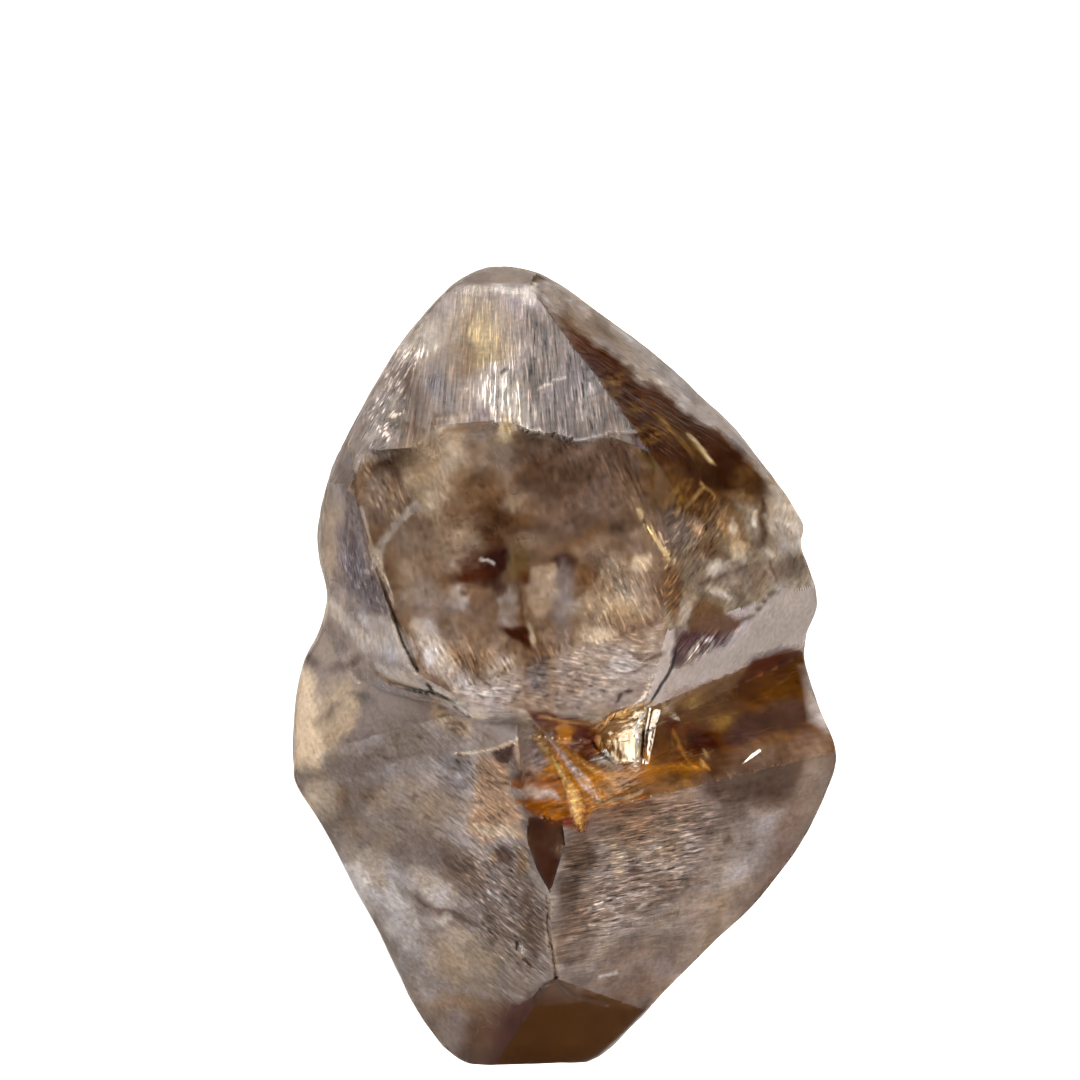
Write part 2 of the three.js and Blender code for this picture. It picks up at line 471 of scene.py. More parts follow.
# ================================================================================================
# Finish of each face: two colours that drift into one another, how dull it is (0 clear, 1 dull), which way
# its growth lines run (a bearing in the plan, or None for level lines round the stone), how far apart and how
# long they are in mm, how deep they are cut in mm, how dark they are drawn, and how patchy the colour is.
# ================================================================================================
FINISH = {
    "tip cap": ("#ab9c91", "#85756a", 0.5, 0, 0.10, 0.5, 0.004, 0.3, 0.5),
    "last plate": ("#b3a091", "#9a8c8c", 0.6, 92, 0.065, 0.9, 0.010, 0.8, 0.35),
    "plate bevel": ("#b09f96", "#8d7f7b", 0.5, 72, 0.12, 0.5, 0.018, 0.9, 0.3),
    "clear face": ("#806957", "#715a48", 0.1, 115, 0.12, 0.6, 0.002, 0.3, 0.6),
    "belly": ("#a08b7a", "#8a7462", 0.2, 350, 0.14, 0.5, 0.006, 0.35, 0.5),
    "right face": ("#634628", "#4f3418", 0.2, 335, 0.06, 0.35, 0.006, 0.7, 0.6),
    "right shoulder": ("#94826f", "#7a654c", 0.3, 40, 0.09, 0.5, 0.008, 0.5, 0.7),
    "rim band": ("#b9aaa3", "#ada0a0", 0.5, 22, 0.12, 1.6, 0.003, 0.15, 0.1),
    "left face": ("#98877c", "#85797a", 0.4, 112, 0.16, 0.5, 0.006, 0.4, 0.4),
    "rim left": ("#a4968b", "#8a7c76", 0.4, 340, 0.12, 0.8, 0.004, 0.3, 0.35),
    "rim middle": ("#8d7b68", "#a49482", 0.3, 0, 0.10, 0.5, 0.004, 0.3, 0.5),
    "rim right": ("#7a624a", "#8d7b68", 0.3, 25, 0.10, 0.5, 0.004, 0.3, 0.5),
    "left slope": ("#978880", "#877a78", 0.55, 128, 0.16, 0.8, 0.004, 0.25, 0.12),
    "rim dip": ("#97898a", "#897a76", 0.5, 128, 0.14, 0.6, 0.004, 0.25, 0.25),
    "lower left face": ("#978880", "#7c6c63", 0.6, 146, 0.075, 0.4, 0.012, 0.8, 0.5),
    "lower right face": ("#94847a", "#7b6358", 0.6, -4, 0.07, 0.6, 0.008, 0.7, 0.5),
    "foot": ("#5f432c", "#4b301b", 0.3, 0, 0.2, 1.0, 0.003, 0.2, 0.15),
    "left shoulder": ("#978880", "#8a7c74", 0.55, 128, 0.16, 0.8, 0.004, 0.25, 0.1),
    "gap floor": ("#70491f", "#52300f", 0.12, 30, 0.12, 0.6, 0.006, 0.4, 0.6),
    "gap wall": ("#7a6a62", "#5a4433", 0.3, 90, 0.10, 0.4, 0.004, 0.3, 0.4),
    "girdle": ("#a48f7c", "#74604e", 0.4, None, 0.09, 1.0, 0.012, 0.9, 0.7),
    # The bright facet's gold is painted light: the glow of light refracted through the stone
    "golden window": ("#cfac7c", "#a87c40", 0.1, 70, 0.07, 0.3, 0.03, 0.9, 0.6),
    "window bar": ("#6b4c33", "#4a3220", 0.1, 88, 0.05, 1.2, 0.02, 0.4, 0.3),
    "tear": ("#3a2a20", "#4a382e", 0.25, 90, 0.1, 0.5, 0.0, 0.0, 0.05),
}
BACK_FINISH = ("#a28e7b", "#6e5947", 0.34, None, 0.10, 0.8, 0.012, 0.8, 0.75)
# What the studio's light makes of each face: the grey that the gloss adds, and how much of the skin's colour
# comes back
LIT = {name: (veil, gain) for veil, gain, names in (
    (0.09, 0.72, ("left slope", "left shoulder")),
    (0.07, 0.88, ("last plate", "plate bevel")),
    (0.033, 0.74, ("tip cap", "rim band", "left face", "rim left", "rim right", "lower right face",
                   "girdle")),
    (0.018, 0.82, ("right face", "right shoulder", "rim middle", "rim dip", "lower left face", "tear")),
    (0.005, 0.95, ("clear face", "belly")),
    (0.005, 0.75, ("foot",)),
    (0.008, 0.5, ("gap floor", "gap wall", "golden window", "window bar"))) for name in names}
USUAL_LIT = (0.04, 0.6)            # the same for the faces that look away from the view
TRIGON_CELL, TRIGON_DEPTH = 0.75, 0.03     # one pit at most on a square this wide, and how deep, in mm
TERRACES, LAYERS = 3.0, 2.2        # how far the growth layers wander, and how many there are to a mm
TERRACE_STEP = 0.022               # height of the step that a layer ends in, in mm
PLATE_FAN = (-0.75, 0.16)          # the plate's lines spread from here across, by this much per mm down


def finish(name, column):
    return FINISH.get(name, BACK_FINISH)[column]


def by_face(owner, column):
    """One column of the finish table, for each point."""
    return np.array([finish(name, column) or 0 for name in NAMES])[owner]


def growth_lines(p, owner):
    """Where each point lies across and along the growth lines of its face, in mm."""
    across, along_it = np.zeros(len(p)), np.zeros(len(p))
    for number, name in enumerate(NAMES):
        on = owner == number
        if name == "girdle":
            across[on], along_it[on] = p[on, 2], np.arctan2(p[on, 1], p[on, 0]) * LENGTH / 2
            continue
        out, bearing = FACES.get(name, FACES["gap floor"])[0], finish(name, 3)
        if bearing is None:
            line = np.cross((0, 0, 1), out)
        else:
            b = math.radians(bearing)
            line = np.array([math.cos(b), math.sin(b), 0])
            line = line - out * (line @ out)
        line = line / np.linalg.norm(line)
        across[on], along_it[on] = p[on] @ np.cross(out, line), p[on] @ line
    plate = owner == NAMES.index("last plate")
    middle, spread = PLATE_FAN
    x, y, _ = p[plate].T
    across[plate] = (x - middle) / (1 + spread * (LENGTH / 2 - y))
    return across, along_it


# ================================================================================================
# Landmarks of the front
# ================================================================================================
PLATE_EDGE = [(-9, 2.66), (-2.66, 2.73), (-2.3, 2.66), (-1.67, 2.7), (-1.6, 2.95), (-0.92, 3.02),
              (-0.6, 2.98), (-0.41, 2.89), (-0.03, 2.84), (0.14, 2.76), (0.43, 2.83), (0.54, 2.89),
              (0.89, 2.86), (9, 2.6)]
LEFT_CRACK = [(-2.66, 2.76), (-2.65, 2.22), (-2.56, 1.83), (-2.3, 1.21), (-2.15, 0.78), (-1.93, 0.31),
              (-1.8, -0.01)]
RIM_CRACK = [(-2.15, -0.18), (-1.6, -0.31), (-1.36, -0.4), (-1.18, -0.58)]
TEAR = [(-0.45, -1.8), (-0.04, -1.85), (0.0, -2.14), (-0.19, -2.74), (-0.35, -2.45), (-0.48, -2.07)]
FOOT_FORK_LEFT = [(-0.11, -3.83), (-0.26, -3.93), (-0.48, -4.2), (-0.55, -4.4)]
FOOT_FORK_RIGHT = [(-0.11, -3.83), (0.05, -4.05), (0.36, -4.16), (0.52, -4.2)]
FRONT_EDGE = [(-0.19, -2.74), (-0.23, -3.14), (-0.16, -3.52), (-0.11, -3.83)]
TEAR_RISE = 0.27       # slope of the tear's floor, upwards to the tip
WINDOW_TILT = 0.25     # how much flatter the bright facet is than the floor it stands on
WINDOW_HINGE = (0.5, -1.2)         # where the facet's plane is as high as the floor
UPHILL = (0.42, 0.91)              # which way the floor climbs
GOLD_WINDOW = [(0.28, -0.75), (0.57, -0.53), (0.94, -0.41), (0.98, -0.5), (0.91, -1.17), (0.66, -1.18),
               (0.49, -1.09), (0.3, -0.88)]
WINDOW_BAR = [(1.0, -0.46), (1.17, -0.5), (1.03, -1.19), (0.93, -1.19)]


# Needle-shaped sheets on the gap's floor: colour, half width and height in mm, from, to
BLADES = [
    ("#9c8d86", 0.05, 0.03, (-0.42, -0.6), (0.42, -1.62)),
    ("#b3854c", 0.055, 0.035, (-0.3, -0.84), (0.2, -1.72)),
    ("#a87a45", 0.04, 0.025, (-0.05, -0.98), (0.62, -1.42)),
    ("#b88a52", 0.055, 0.03, (-0.02, -1.28), (0.2, -1.98)),
    ("#9c6a34", 0.04, 0.025, (0.12, -1.3), (0.52, -1.6)),
    ("#8a5226", 0.035, 0.02, (-0.34, -0.75), (0.0, -1.2)),
]


def blade_outline(blade):
    """A sliver that widens slowly from its first end and closes quickly at its second."""
    _, width, _, start, end = blade
    a, b = np.array(start), np.array(end)
    way = (b - a) / np.linalg.norm(b - a)
    side = np.array([-way[1], way[0]]) * width
    wide = a + 0.8 * (b - a)
    return [tuple(a), tuple(wide + side), tuple(b), tuple(wide - side)]


CUT_LINES = [PLATE_EDGE[1:-1], LEFT_CRACK, RIM_CRACK, FRONT_EDGE, FOOT_FORK_LEFT, FOOT_FORK_RIGHT,
             GOLD_WINDOW + GOLD_WINDOW[:1], WINDOW_BAR + WINDOW_BAR[:1], TEAR + TEAR[:1]]
for blade in BLADES:
    CUT_LINES += [blade_outline(blade) + blade_outline(blade)[:1], [blade[3], blade[4]]]


def plate_edge(x):
    px, py = np.array(PLATE_EDGE).T
    return np.interp(x, px, py)


def groove(points, x, y, width, depth):
    """Height of a groove along a line: below zero in it, 0 beside it."""
    d, _ = along(points, x, y)
    return -depth * (1 - ease(d, 0.25 * width, width))


def height_on(name, x, y):
    out, reach = FACES[name]
    return (reach - out[0] * x - out[1] * y) / out[2]


def window_plane(x, y):
    """Height of the plane of the bright facet and its bar, which climbs less steeply than the floor."""
    climb = UPHILL[0] * (x - WINDOW_HINGE[0]) + UPHILL[1] * (y - WINDOW_HINGE[1])
    return height_on("gap floor", x, y) + WINDOW_TILT * climb


STEP_LIMIT = 0.3       # the most that a step, a tear or a facet raises or lowers the front, in mm
LIP = 0.012            # width of the slope along a drawn outline, in mm


def cut_out(outline, x, y):
    """1 inside an outline, 0 outside it."""
    return 1 - ease(within(outline, x, y), -LIP, 0.0)


def front_relief(p):
    """Height that growth and etching add to the front, along z, in mm."""
    x, y, z = p.T
    blurred = 0.16 * ease(x, -1.9, -1.6) * (1 - ease(x, -0.75, -0.5))
    below = 1 - ease(y - plate_edge(x), -0.02 - blurred, -0.004 + blurred)
    caps = ("last plate", "plate bevel", "right face", "tip cap")
    roof = np.min([height_on(name, x, y) for name in caps], 0)
    raised = np.clip(roof - z, 0, STEP_LIMIT) * (1 - below)
    step = below * ease(x, -2.6, -2.2) * (1 - ease(x, 0.85, 1.1)) * ease(y, 1.2, 2.6)
    height = raised - 0.04 * step
    height += groove(LEFT_CRACK, x, y, 0.028, 0.05) * ease(-y, -2.2, -0.5)
    height += groove(RIM_CRACK, x, y, 0.03, 0.06)
    for line in (FRONT_EDGE, FOOT_FORK_LEFT, FOOT_FORK_RIGHT):
        height += groove(line, x, y, 0.025, 0.03)
    torn = height_on("lower left face", *TEAR[3]) + TEAR_RISE * (y - TEAR[3][1])
    height -= np.clip(z - torn, 0, STEP_LIMIT) * cut_out(TEAR, x, y)
    flatter = window_plane(x, y)
    for outline, rise in ((GOLD_WINDOW, 0.03), (WINDOW_BAR, 0.06)):
        height += np.clip(flatter + rise - z, 0, STEP_LIMIT) * cut_out(outline, x, y)
    floor = height_on("gap floor", x, y)
    for blade in BLADES:
        _, width, rise, _, _ = blade
        inside = np.clip(-within(blade_outline(blade), x, y) / width, 0, 0.8) / 0.8
        height += np.clip(floor + rise * inside - z, 0, rise) * (inside > 0)
    return height


def trigons(u, v):
    """Depth of three-sided etch pits, one at most on each square of the plan, all pointing the same way."""
    i, j = np.floor(u / TRIGON_CELL), np.floor(v / TRIGON_CELL)
    r, s, t = (np.modf(np.abs(np.sin(i * a + j * b + 1.7) * 4373.5))[0]
               for a, b in ((12.99, 78.23), (39.35, 11.14), (73.16, 52.24)))
    du, dv = u - (i + 0.35 + 0.3 * r) * TRIGON_CELL, v - (j + 0.35 + 0.3 * s) * TRIGON_CELL
    reach = np.max([du * math.cos(a) + dv * math.sin(a) for a in np.radians((90, 210, 330))], 0)
    size = TRIGON_CELL * np.clip(0.35 * t - 0.06, 0, 1)
    return TRIGON_DEPTH * ease(size - reach, 0.0, 0.05)


def terraces(p):
    """Height of the growth layers that end in low steps on the sides and the back."""
    level = TERRACES * clouds(p, 1.6, 61, 3) + LAYERS * p[:, 2]
    return TERRACE_STEP * (np.floor(level) + ease(level - np.floor(level), 0.3, 0.6))


def etch_relief(p, owner, across, along_it, etch):
    """Height of the growth lines and etched hollows, straight out of each face, in mm."""
    lines = noise(np.stack([across / by_face(owner, 4), along_it / by_face(owner, 5)], -1), 1.0, 11)
    return by_face(owner, 6) * etch * (lines + 0.5 * noise(p, 0.16, 12)) + 0.015 * noise(p, 0.7, 13)


# ================================================================================================
# Colour of the skin, patch by patch
# ================================================================================================
# The colours that the skin, the haze and the stains take, from white glints down to ink-dark cracks
PALETTE = {
    "white": "#f0e6da", "ivory": "#d8cabc", "cream": "#e0c8aa", "shell": "#c8baae", "pearl": "#b8aea8",
    "sand": "#b8a288", "straw": "#cab082", "peach": "#b08c70", "ash": "#a89a90", "beige": "#a28c76",
    "dove": "#968a84", "fawn": "#907a68", "mauve": "#867a76", "slate": "#706a6e", "storm": "#544e52",
    "taupe": "#746258", "tan": "#886848", "gold": "#a88450", "bronze": "#866434", "honey": "#bc7828",
    "amber": "#88541a", "russet": "#683c10", "rust": "#502408", "cocoa": "#5c483c", "nut": "#644830",
    "olive": "#604a2c", "umber": "#483020", "toffee": "#422e12", "walnut": "#4c2e16", "plum": "#3c2c28",
    "chestnut": "#381c0c", "peat": "#26140a", "ink": "#180e08",
}
# Areas: what it is, colour, strength, softness of the edge in mm, dullness (None leaves it), and its shape:
# an outline, or the middle, the two half widths and the turn of an oval, in mm and degrees
AREAS = [
    # tip and last growth plate
    ("tip, brown", "fawn", 0.6, 0.08, None, (-0.8, 4.82, 0.25, 0.08, 0)),
    ("tip, pale edge", "ivory", 0.9, 0.04, 0.3,
     [(-1.41, 4.61), (-1.18, 4.72), (-0.6, 4.69), (-0.38, 4.73), (-0.4, 4.61), (-1.03, 4.61), (-1.32, 4.59)]),
    ("tip, peach spot", "sand", 0.8, 0.04, 0.3, (-1.24, 4.55, 0.09, 0.05, 0)),
    ("plate, golden", "sand", 0.85, 0.2, None, (-1.1, 4.1, 0.4, 0.48, 0)),
    ("plate, brown smear", "tan", 0.7, 0.12, None, (-1.2, 3.82, 0.14, 0.34, 0)),
    ("plate, gold smear", "straw", 0.7, 0.12, None, (-1.0, 4.0, 0.16, 0.3, 0)),
    ("plate, bright corner", "ivory", 0.8, 0.06, 0.25, (-0.45, 4.58, 0.1, 0.1, 0)),
    ("plate, right", "mauve", 0.85, 0.15, None,
     [(-0.46, 4.42), (-0.14, 4.34), (0.35, 3.76), (0.84, 2.9), (-0.17, 2.9), (-0.46, 2.95), (-0.6, 3.65),
      (-0.57, 4.22)]),
    ("plate, right pale band", "ash", 0.7, 0.08, None, (0.25, 3.2, 0.14, 0.45, 0)),
    ("plate, dark band", "dove", 0.6, 0.08, None, (-0.2, 3.3, 0.1, 0.5, 0)),
    ("plate, blue", "slate", 0.7, 0.12, 0.3, (-1.5, 3.4, 0.17, 0.35, 0)),
    ("plate, pale low", "ivory", 0.8, 0.08, None, (-0.6, 3.1, 0.25, 0.14, 0)),
    ("plate, speckled", "shell", 0.75, 0.12, 0.35, (-0.78, 3.35, 0.26, 0.33, 0)),
    ("bevel, dark", "taupe", 0.85, 0.1, None, (-1.82, 3.2, 0.15, 0.5, 5)),
    ("bevel, pale top", "ivory", 0.7, 0.12, 0.3, (-1.8, 4.05, 0.3, 0.25, 40)),
    ("bevel, pale low", "pearl", 0.75, 0.1, 0.3, (-2.2, 3.05, 0.2, 0.45, -10)),
    ("bevel, corner", "ash", 0.7, 0.06, 0.3, (-2.52, 2.68, 0.12, 0.2, 0)),
    # through the clear face
    # Red-brown under the plate's lip, darkened as painted shadow of the step above it
    ("red patch", "chestnut", 0.92, 0.04, 0.2,
     [(-2.42, 2.45), (-2.2, 2.54), (-1.95, 2.58), (-1.97, 2.2), (-2.34, 2.2)]),
    ("red patch, inner", "umber", 0.6, 0.04, 0.2, (-2.1, 2.5, 0.08, 0.1, 0)),
    ("peach haze", "beige", 0.9, 0.16, None, (-1.55, 2.45, 0.45, 0.42, 15)),
    ("peach haze, top", "beige", 0.85, 0.1, None, (-1.42, 2.77, 0.22, 0.17, 0)),
    ("gold top", "ivory", 0.8, 0.06, None, (-1.5, 2.95, 0.13, 0.06, 25)),
    ("gold lobe", "straw", 0.85, 0.05, None, (-0.75, 2.88, 0.07, 0.15, -8)),
    ("mauve top", "fawn", 0.85, 0.12, None, (-0.88, 2.52, 0.24, 0.3, 0)),
    ("dark stripes", "cocoa", 0.85, 0.12, None, (-0.42, 2.58, 0.2, 0.28, 0)),
    ("clear right", "cocoa", 0.9, 0.18, None, (0.22, 2.42, 0.68, 0.5, 0)),
    ("clear right, low", "cocoa", 0.88, 0.15, None, (0.25, 1.92, 0.5, 0.3, 0)),
    ("curved facet", "nut", 0.9, 0.03, None,
     [(0.78, 2.84), (0.93, 2.86), (1.08, 2.68), (1.16, 2.45), (1.12, 2.2), (1.0, 2.05), (0.92, 2.4)]),
    ("brown cloud", "nut", 0.9, 0.12, None, (-1.05, 2.15, 0.38, 0.25, -15)),
    ("brown cloud, right", "umber", 0.9, 0.1, None, (-0.7, 1.87, 0.32, 0.17, -20)),
    ("red brown", "nut", 0.7, 0.05, None, (-0.52, 1.84, 0.12, 0.09, 0)),
    ("pale haze", "beige", 0.7, 0.08, None, (-0.55, 2.08, 0.14, 0.12, 0)),
    ("pale haze, low", "fawn", 0.7, 0.08, None, (-0.42, 1.62, 0.17, 0.1, 0)),
    ("beige haze", "beige", 0.9, 0.14, None, (-1.4, 1.52, 0.34, 0.32, 0)),
    ("mauve left", "fawn", 0.85, 0.15, None, (-1.87, 1.4, 0.26, 0.5, 15)),
    ("darkest", "peat", 0.97, 0.09, None, (-0.86, 1.28, 0.2, 0.36, 12)),
    ("darkest, foot", "chestnut", 0.95, 0.07, None, (-1.12, 1.1, 0.3, 0.12, 5)),
    ("darkest, top", "umber", 0.85, 0.09, None, (-0.95, 1.65, 0.16, 0.16, 0)),
    ("olive brown", "olive", 0.9, 0.07, None, (-0.54, 1.3, 0.14, 0.28, 0)),
    ("olive light", "olive", 0.7, 0.04, None, (-0.62, 1.38, 0.03, 0.14, 0)),
    ("brown under the lobe", "rust", 0.85, 0.05, None, (-0.44, 1.07, 0.09, 0.1, 0)),
    ("dark violet", "peat", 0.93, 0.06, None, (0.0, 1.24, 0.15, 0.18, -20)),
    ("brown arc", "nut", 0.8, 0.06, None, (0.25, 1.6, 0.3, 0.09, 25)),
    ("blue end", "plum", 0.8, 0.05, None, (0.58, 1.68, 0.1, 0.07, 10)),
    ("beige lobe", "beige", 0.95, 0.04, None,
     [(-0.4, 1.22), (-0.12, 1.25), (-0.07, 1.02), (-0.13, 0.75), (-0.25, 0.58), (-0.4, 0.7), (-0.46, 0.9)]),
    ("blue wedge", "dove", 0.95, 0.03, None,
     [(-0.8, 0.86), (-0.62, 1.0), (-0.56, 0.5), (-0.68, 0.52), (-0.79, 0.58)]),
    ("red wedge", "chestnut", 0.97, 0.03, None,
     [(-0.82, 0.54), (-0.62, 0.5), (-0.46, 0.51), (-0.43, 0.32), (-0.37, 0.2), (-0.52, 0.24), (-0.68, 0.38)]),
    ("yellow sliver", "ivory", 0.9, 0.02, None, (-0.4, 0.38, 0.03, 0.12, 8)),
    ("pale cloud", "ash", 0.8, 0.08, None, (-1.35, 0.82, 0.15, 0.18, 0)),
    ("chip, brown", "umber", 0.8, 0.03, None, (-1.24, 0.91, 0.05, 0.04, 0)),
    ("mauve, low left", "dove", 0.8, 0.12, None, (-1.75, 0.8, 0.25, 0.2, -40)),
    ("beige, low left", "fawn", 0.85, 0.12, None, (-1.2, 0.32, 0.45, 0.25, -30)),
    ("pale ridge", "shell", 0.85, 0.05, None,
     [(-1.85, 0.6), (-1.66, 0.55), (-1.35, 0.12), (-1.0, -0.32), (-1.3, -0.33), (-1.75, 0.15)]),
    ("pale bottom", "ash", 0.85, 0.1, None, (-0.72, -0.1, 0.24, 0.25, 0)),
    ("grey rim", "dove", 0.85, 0.06, None, (-0.95, -0.45, 0.42, 0.1, -12)),
    ("blue dome", "slate", 0.85, 0.07, None, (-0.32, -0.1, 0.16, 0.22, 0)),
    ("brown smudge", "cocoa", 0.8, 0.04, None, (-0.04, -0.33, 0.07, 0.12, 0)),
    ("grey column", "mauve", 0.85, 0.07, None, (0.0, 0.8, 0.12, 0.42, 0)),
    ("beige dome", "beige", 0.85, 0.13, None, (0.72, 1.0, 0.34, 0.38, 10)),
    ("beige dome, light", "sand", 0.7, 0.1, None, (0.5, 0.72, 0.36, 0.14, 0)),
    ("gold glint", "cream", 0.8, 0.06, None, (0.9, 1.3, 0.1, 0.12, 0)),
    ("peach glint", "cream", 0.95, 0.06, None, (0.4, 0.42, 0.2, 0.1, 0)),
    ("mauve dome", "ash", 0.88, 0.12, None, (0.65, 0.12, 0.6, 0.24, 0)),
    ("mauve dome, low", "dove", 0.85, 0.1, None, (0.4, -0.32, 0.6, 0.2, 12)),
    ("grey below the column", "mauve", 0.7, 0.08, None, (0.06, -0.02, 0.14, 0.16, 0)),
    ("crescent", "pearl", 0.85, 0.05, None, (0.65, 0.06, 0.2, 0.08, 10)),
    ("brown nick", "peat", 0.95, 0.02, None,
     [(0.58, -0.36), (0.63, -0.27), (0.78, -0.2), (0.83, -0.24), (0.78, -0.29), (0.68, -0.3), (0.57, -0.46)]),
    ("left of the cloud", "sand", 0.8, 0.1, None, (-1.72, 2.0, 0.14, 0.2, 20)),
    ("cloud, left", "chestnut", 0.85, 0.1, None, (-1.2, 1.34, 0.16, 0.24, 10)),
    ("left of the pale ridge", "pearl", 0.85, 0.06, None, (-1.98, 0.35, 0.1, 0.2, 30)),
    ("low left, grey", "pearl", 0.85, 0.1, None, (-1.15, -0.12, 0.25, 0.12, -30)),
    ("brown beside the dome", "nut", 0.9, 0.07, None, (0.27, 1.12, 0.12, 0.2, 0)),
    # left of the clear face
    ("brown hollow", "fawn", 0.8, 0.08, None, (-2.2, 2.0, 0.2, 0.4, 15)),
    ("blue mottled", "storm", 0.65, 0.08, 0.35,
     [(-2.72, 1.61), (-2.47, 1.52), (-2.26, 1.0), (-2.11, 0.58), (-2.44, 0.7), (-2.63, 1.0)]),
    ("brown left", "taupe", 0.85, 0.08, None, (-2.7, 2.05, 0.12, 0.42, 12)),
    ("pale facet", "pearl", 0.92, 0.05, 0.3,
     [(-2.57, 0.67), (-2.17, 0.61), (-2.05, 0.52), (-1.77, -0.05), (-2.14, 0.12), (-2.41, 0.33)]),
    ("rim, pale", "shell", 0.9, 0.06, 0.4,
     [(-2.93, 0.88), (-2.72, 0.7), (-2.38, 0.27), (-2.14, 0.03), (-1.59, -0.28), (-1.71, -0.37),
      (-2.2, -0.12), (-2.57, 0.21), (-2.87, 0.58)]),
    ("rim, brown", "taupe", 0.7, 0.05, None, (-2.3, 0.12, 0.25, 0.05, -35)),
    # Pale along the left outline: painted rim light
    ("silhouette, left", "sand", 0.75, 0.1, None, (-2.95, 1.55, 0.12, 0.7, 0)),
    # right face
    ("right face, olive", "toffee", 0.95, 0.1, 0.12,
     [(0.95, 3.3), (1.3, 3.15), (2.1, 2.6), (2.45, 2.4), (2.46, 2.1), (1.9, 1.95), (1.42, 1.85), (1.1, 2.0),
      (1.12, 2.5), (0.9, 2.86)]),
    ("hairy red brown", "umber", 0.92, 0.08, 0.2,
     [(0.0, 4.1), (0.1, 4.2), (0.45, 4.02), (1.1, 3.4), (1.35, 3.05), (1.1, 2.85), (0.84, 2.84),
      (0.42, 3.5)]),
    ("golden band", "nut", 0.7, 0.08, 0.12, (1.45, 2.78, 0.5, 0.09, -45)),
    ("deep brown", "toffee", 0.95, 0.08, 0.1, (2.02, 2.48, 0.32, 0.2, -50)),
    ("brown haze", "nut", 0.8, 0.06, 0.15, (2.24, 2.35, 0.2, 0.18, -50)),
    ("olive patch", "nut", 0.45, 0.06, 0.15, (1.3, 2.3, 0.17, 0.22, 0)),
    # The pale band along the right outline, here and below: partly the etched skin's grey, partly painted
    # reflection of the light from below
    ("beside the tip", "ash", 0.92, 0.06, 0.4,
     [(-0.4, 4.76), (-0.1, 4.82), (0.2, 4.6), (0.1, 4.4), (-0.1, 4.32), (-0.18, 4.38)]),
    ("pale flank", "ash", 0.92, 0.07, 0.5,
     [(0.2, 4.62), (1.18, 3.89), (2.09, 3.06), (2.62, 2.42), (2.5, 2.3), (2.05, 2.75), (1.6, 3.05),
      (1.0, 3.5), (0.68, 3.82), (0.4, 4.12), (0.1, 4.38)]),
    ("flank, brown start", "fawn", 0.8, 0.08, 0.5, (0.3, 4.25, 0.4, 0.12, -38)),
    ("shoulder, brown", "nut", 0.85, 0.08, None, (1.8, 1.9, 0.3, 0.25, 0)),
    ("shoulder, mauve", "taupe", 0.85, 0.08, None, (1.35, 1.68, 0.22, 0.25, 0)),
    ("shoulder, chips", "peach", 0.8, 0.03, 0.12, (1.62, 1.75, 0.06, 0.11, 20)),
    ("shoulder, low brown", "nut", 0.85, 0.07, None, (1.78, 1.45, 0.2, 0.13, 0)),
    # The gold here and in the next two rows is painted light: glints reflected inside the stone
    ("gold wedge", "tan", 0.95, 0.04, 0.12,
     [(1.86, 1.8), (2.02, 1.97), (2.15, 1.8), (2.2, 1.5), (2.12, 1.5), (1.95, 1.6)]),
    ("gold wedge, light", "ivory", 0.9, 0.03, 0.12, (2.08, 1.68, 0.05, 0.1, 10)),
    ("gold below", "cream", 0.85, 0.04, 0.12, (2.15, 1.4, 0.07, 0.13, 10)),
    ("haze above the wedge", "tan", 0.8, 0.05, None, (2.2, 2.1, 0.2, 0.07, 0)),
    ("dark arc", "umber", 0.85, 0.04, 0.15,
     [(2.42, 2.15), (2.49, 2.2), (2.5, 1.65), (2.4, 1.5), (2.3, 1.5), (2.41, 1.7)]),
    # Pale near the right outline: partly painted reflection of the light from below
    ("pale shoulder", "shell", 0.9, 0.08, 0.4,
     [(2.55, 2.2), (2.98, 1.85), (2.99, 1.67), (2.91, 1.45), (2.6, 1.42), (2.52, 1.67)]),
    ("brown ledge", "taupe", 0.85, 0.06, 0.3, (2.7, 1.2, 0.28, 0.12, 8)),
    ("mauve ledge", "fawn", 0.85, 0.07, 0.3, (2.15, 1.12, 0.5, 0.11, 10)),
    ("ledge, pale chip", "shell", 0.9, 0.04, 0.2, (1.82, 1.2, 0.17, 0.07, 25)),
    ("left of the pool", "taupe", 0.9, 0.06, None, (1.45, 0.45, 0.14, 0.22, 0)),
    ("brown pool", "nut", 0.95, 0.04, 0.12,
     [(1.42, 0.6), (1.5, 0.78), (1.66, 0.79), (1.9, 0.7), (2.1, 0.62), (2.14, 0.52), (1.91, 0.38),
      (1.54, 0.36)]),
    ("pool, glint", "shell", 0.85, 0.03, 0.15, (1.85, 0.9, 0.17, 0.05, -10)),
    ("strip under the ridge", "nut", 0.9, 0.03, 0.2,
     [(1.13, 1.06), (1.25, 1.32), (1.4, 1.1), (1.4, 0.76), (1.35, 0.52), (1.12, 0.85)]),
    ("small facet", "beige", 0.9, 0.03, 0.15, [(1.45, 0.94), (1.61, 0.88), (1.45, 0.49), (1.36, 0.52)]),
    ("jagged edge", "umber", 0.92, 0.04, 0.1,
     [(1.3, 0.17), (1.42, 0.42), (1.91, 0.4), (2.02, 0.45), (1.98, 0.32), (1.79, 0.21), (1.48, 0.02),
      (1.3, -0.01)]),
    ("pale band", "ash", 0.85, 0.1, 0.5,
     [(2.09, 0.27), (2.3, 0.62), (2.6, 0.95), (3.13, 0.98), (3.05, 0.4), (2.4, 0.12), (1.27, -0.16),
      (1.36, 0.02), (1.79, 0.17)]),
    # left of the lower crystal
    ("left, mauve", "mauve", 0.9, 0.2, None, (-2.05, -0.75, 0.65, 0.55, 0)),
    # Cream along the left outline: painted rim light
    ("left, cream", "cream", 0.95, 0.1, 0.5,
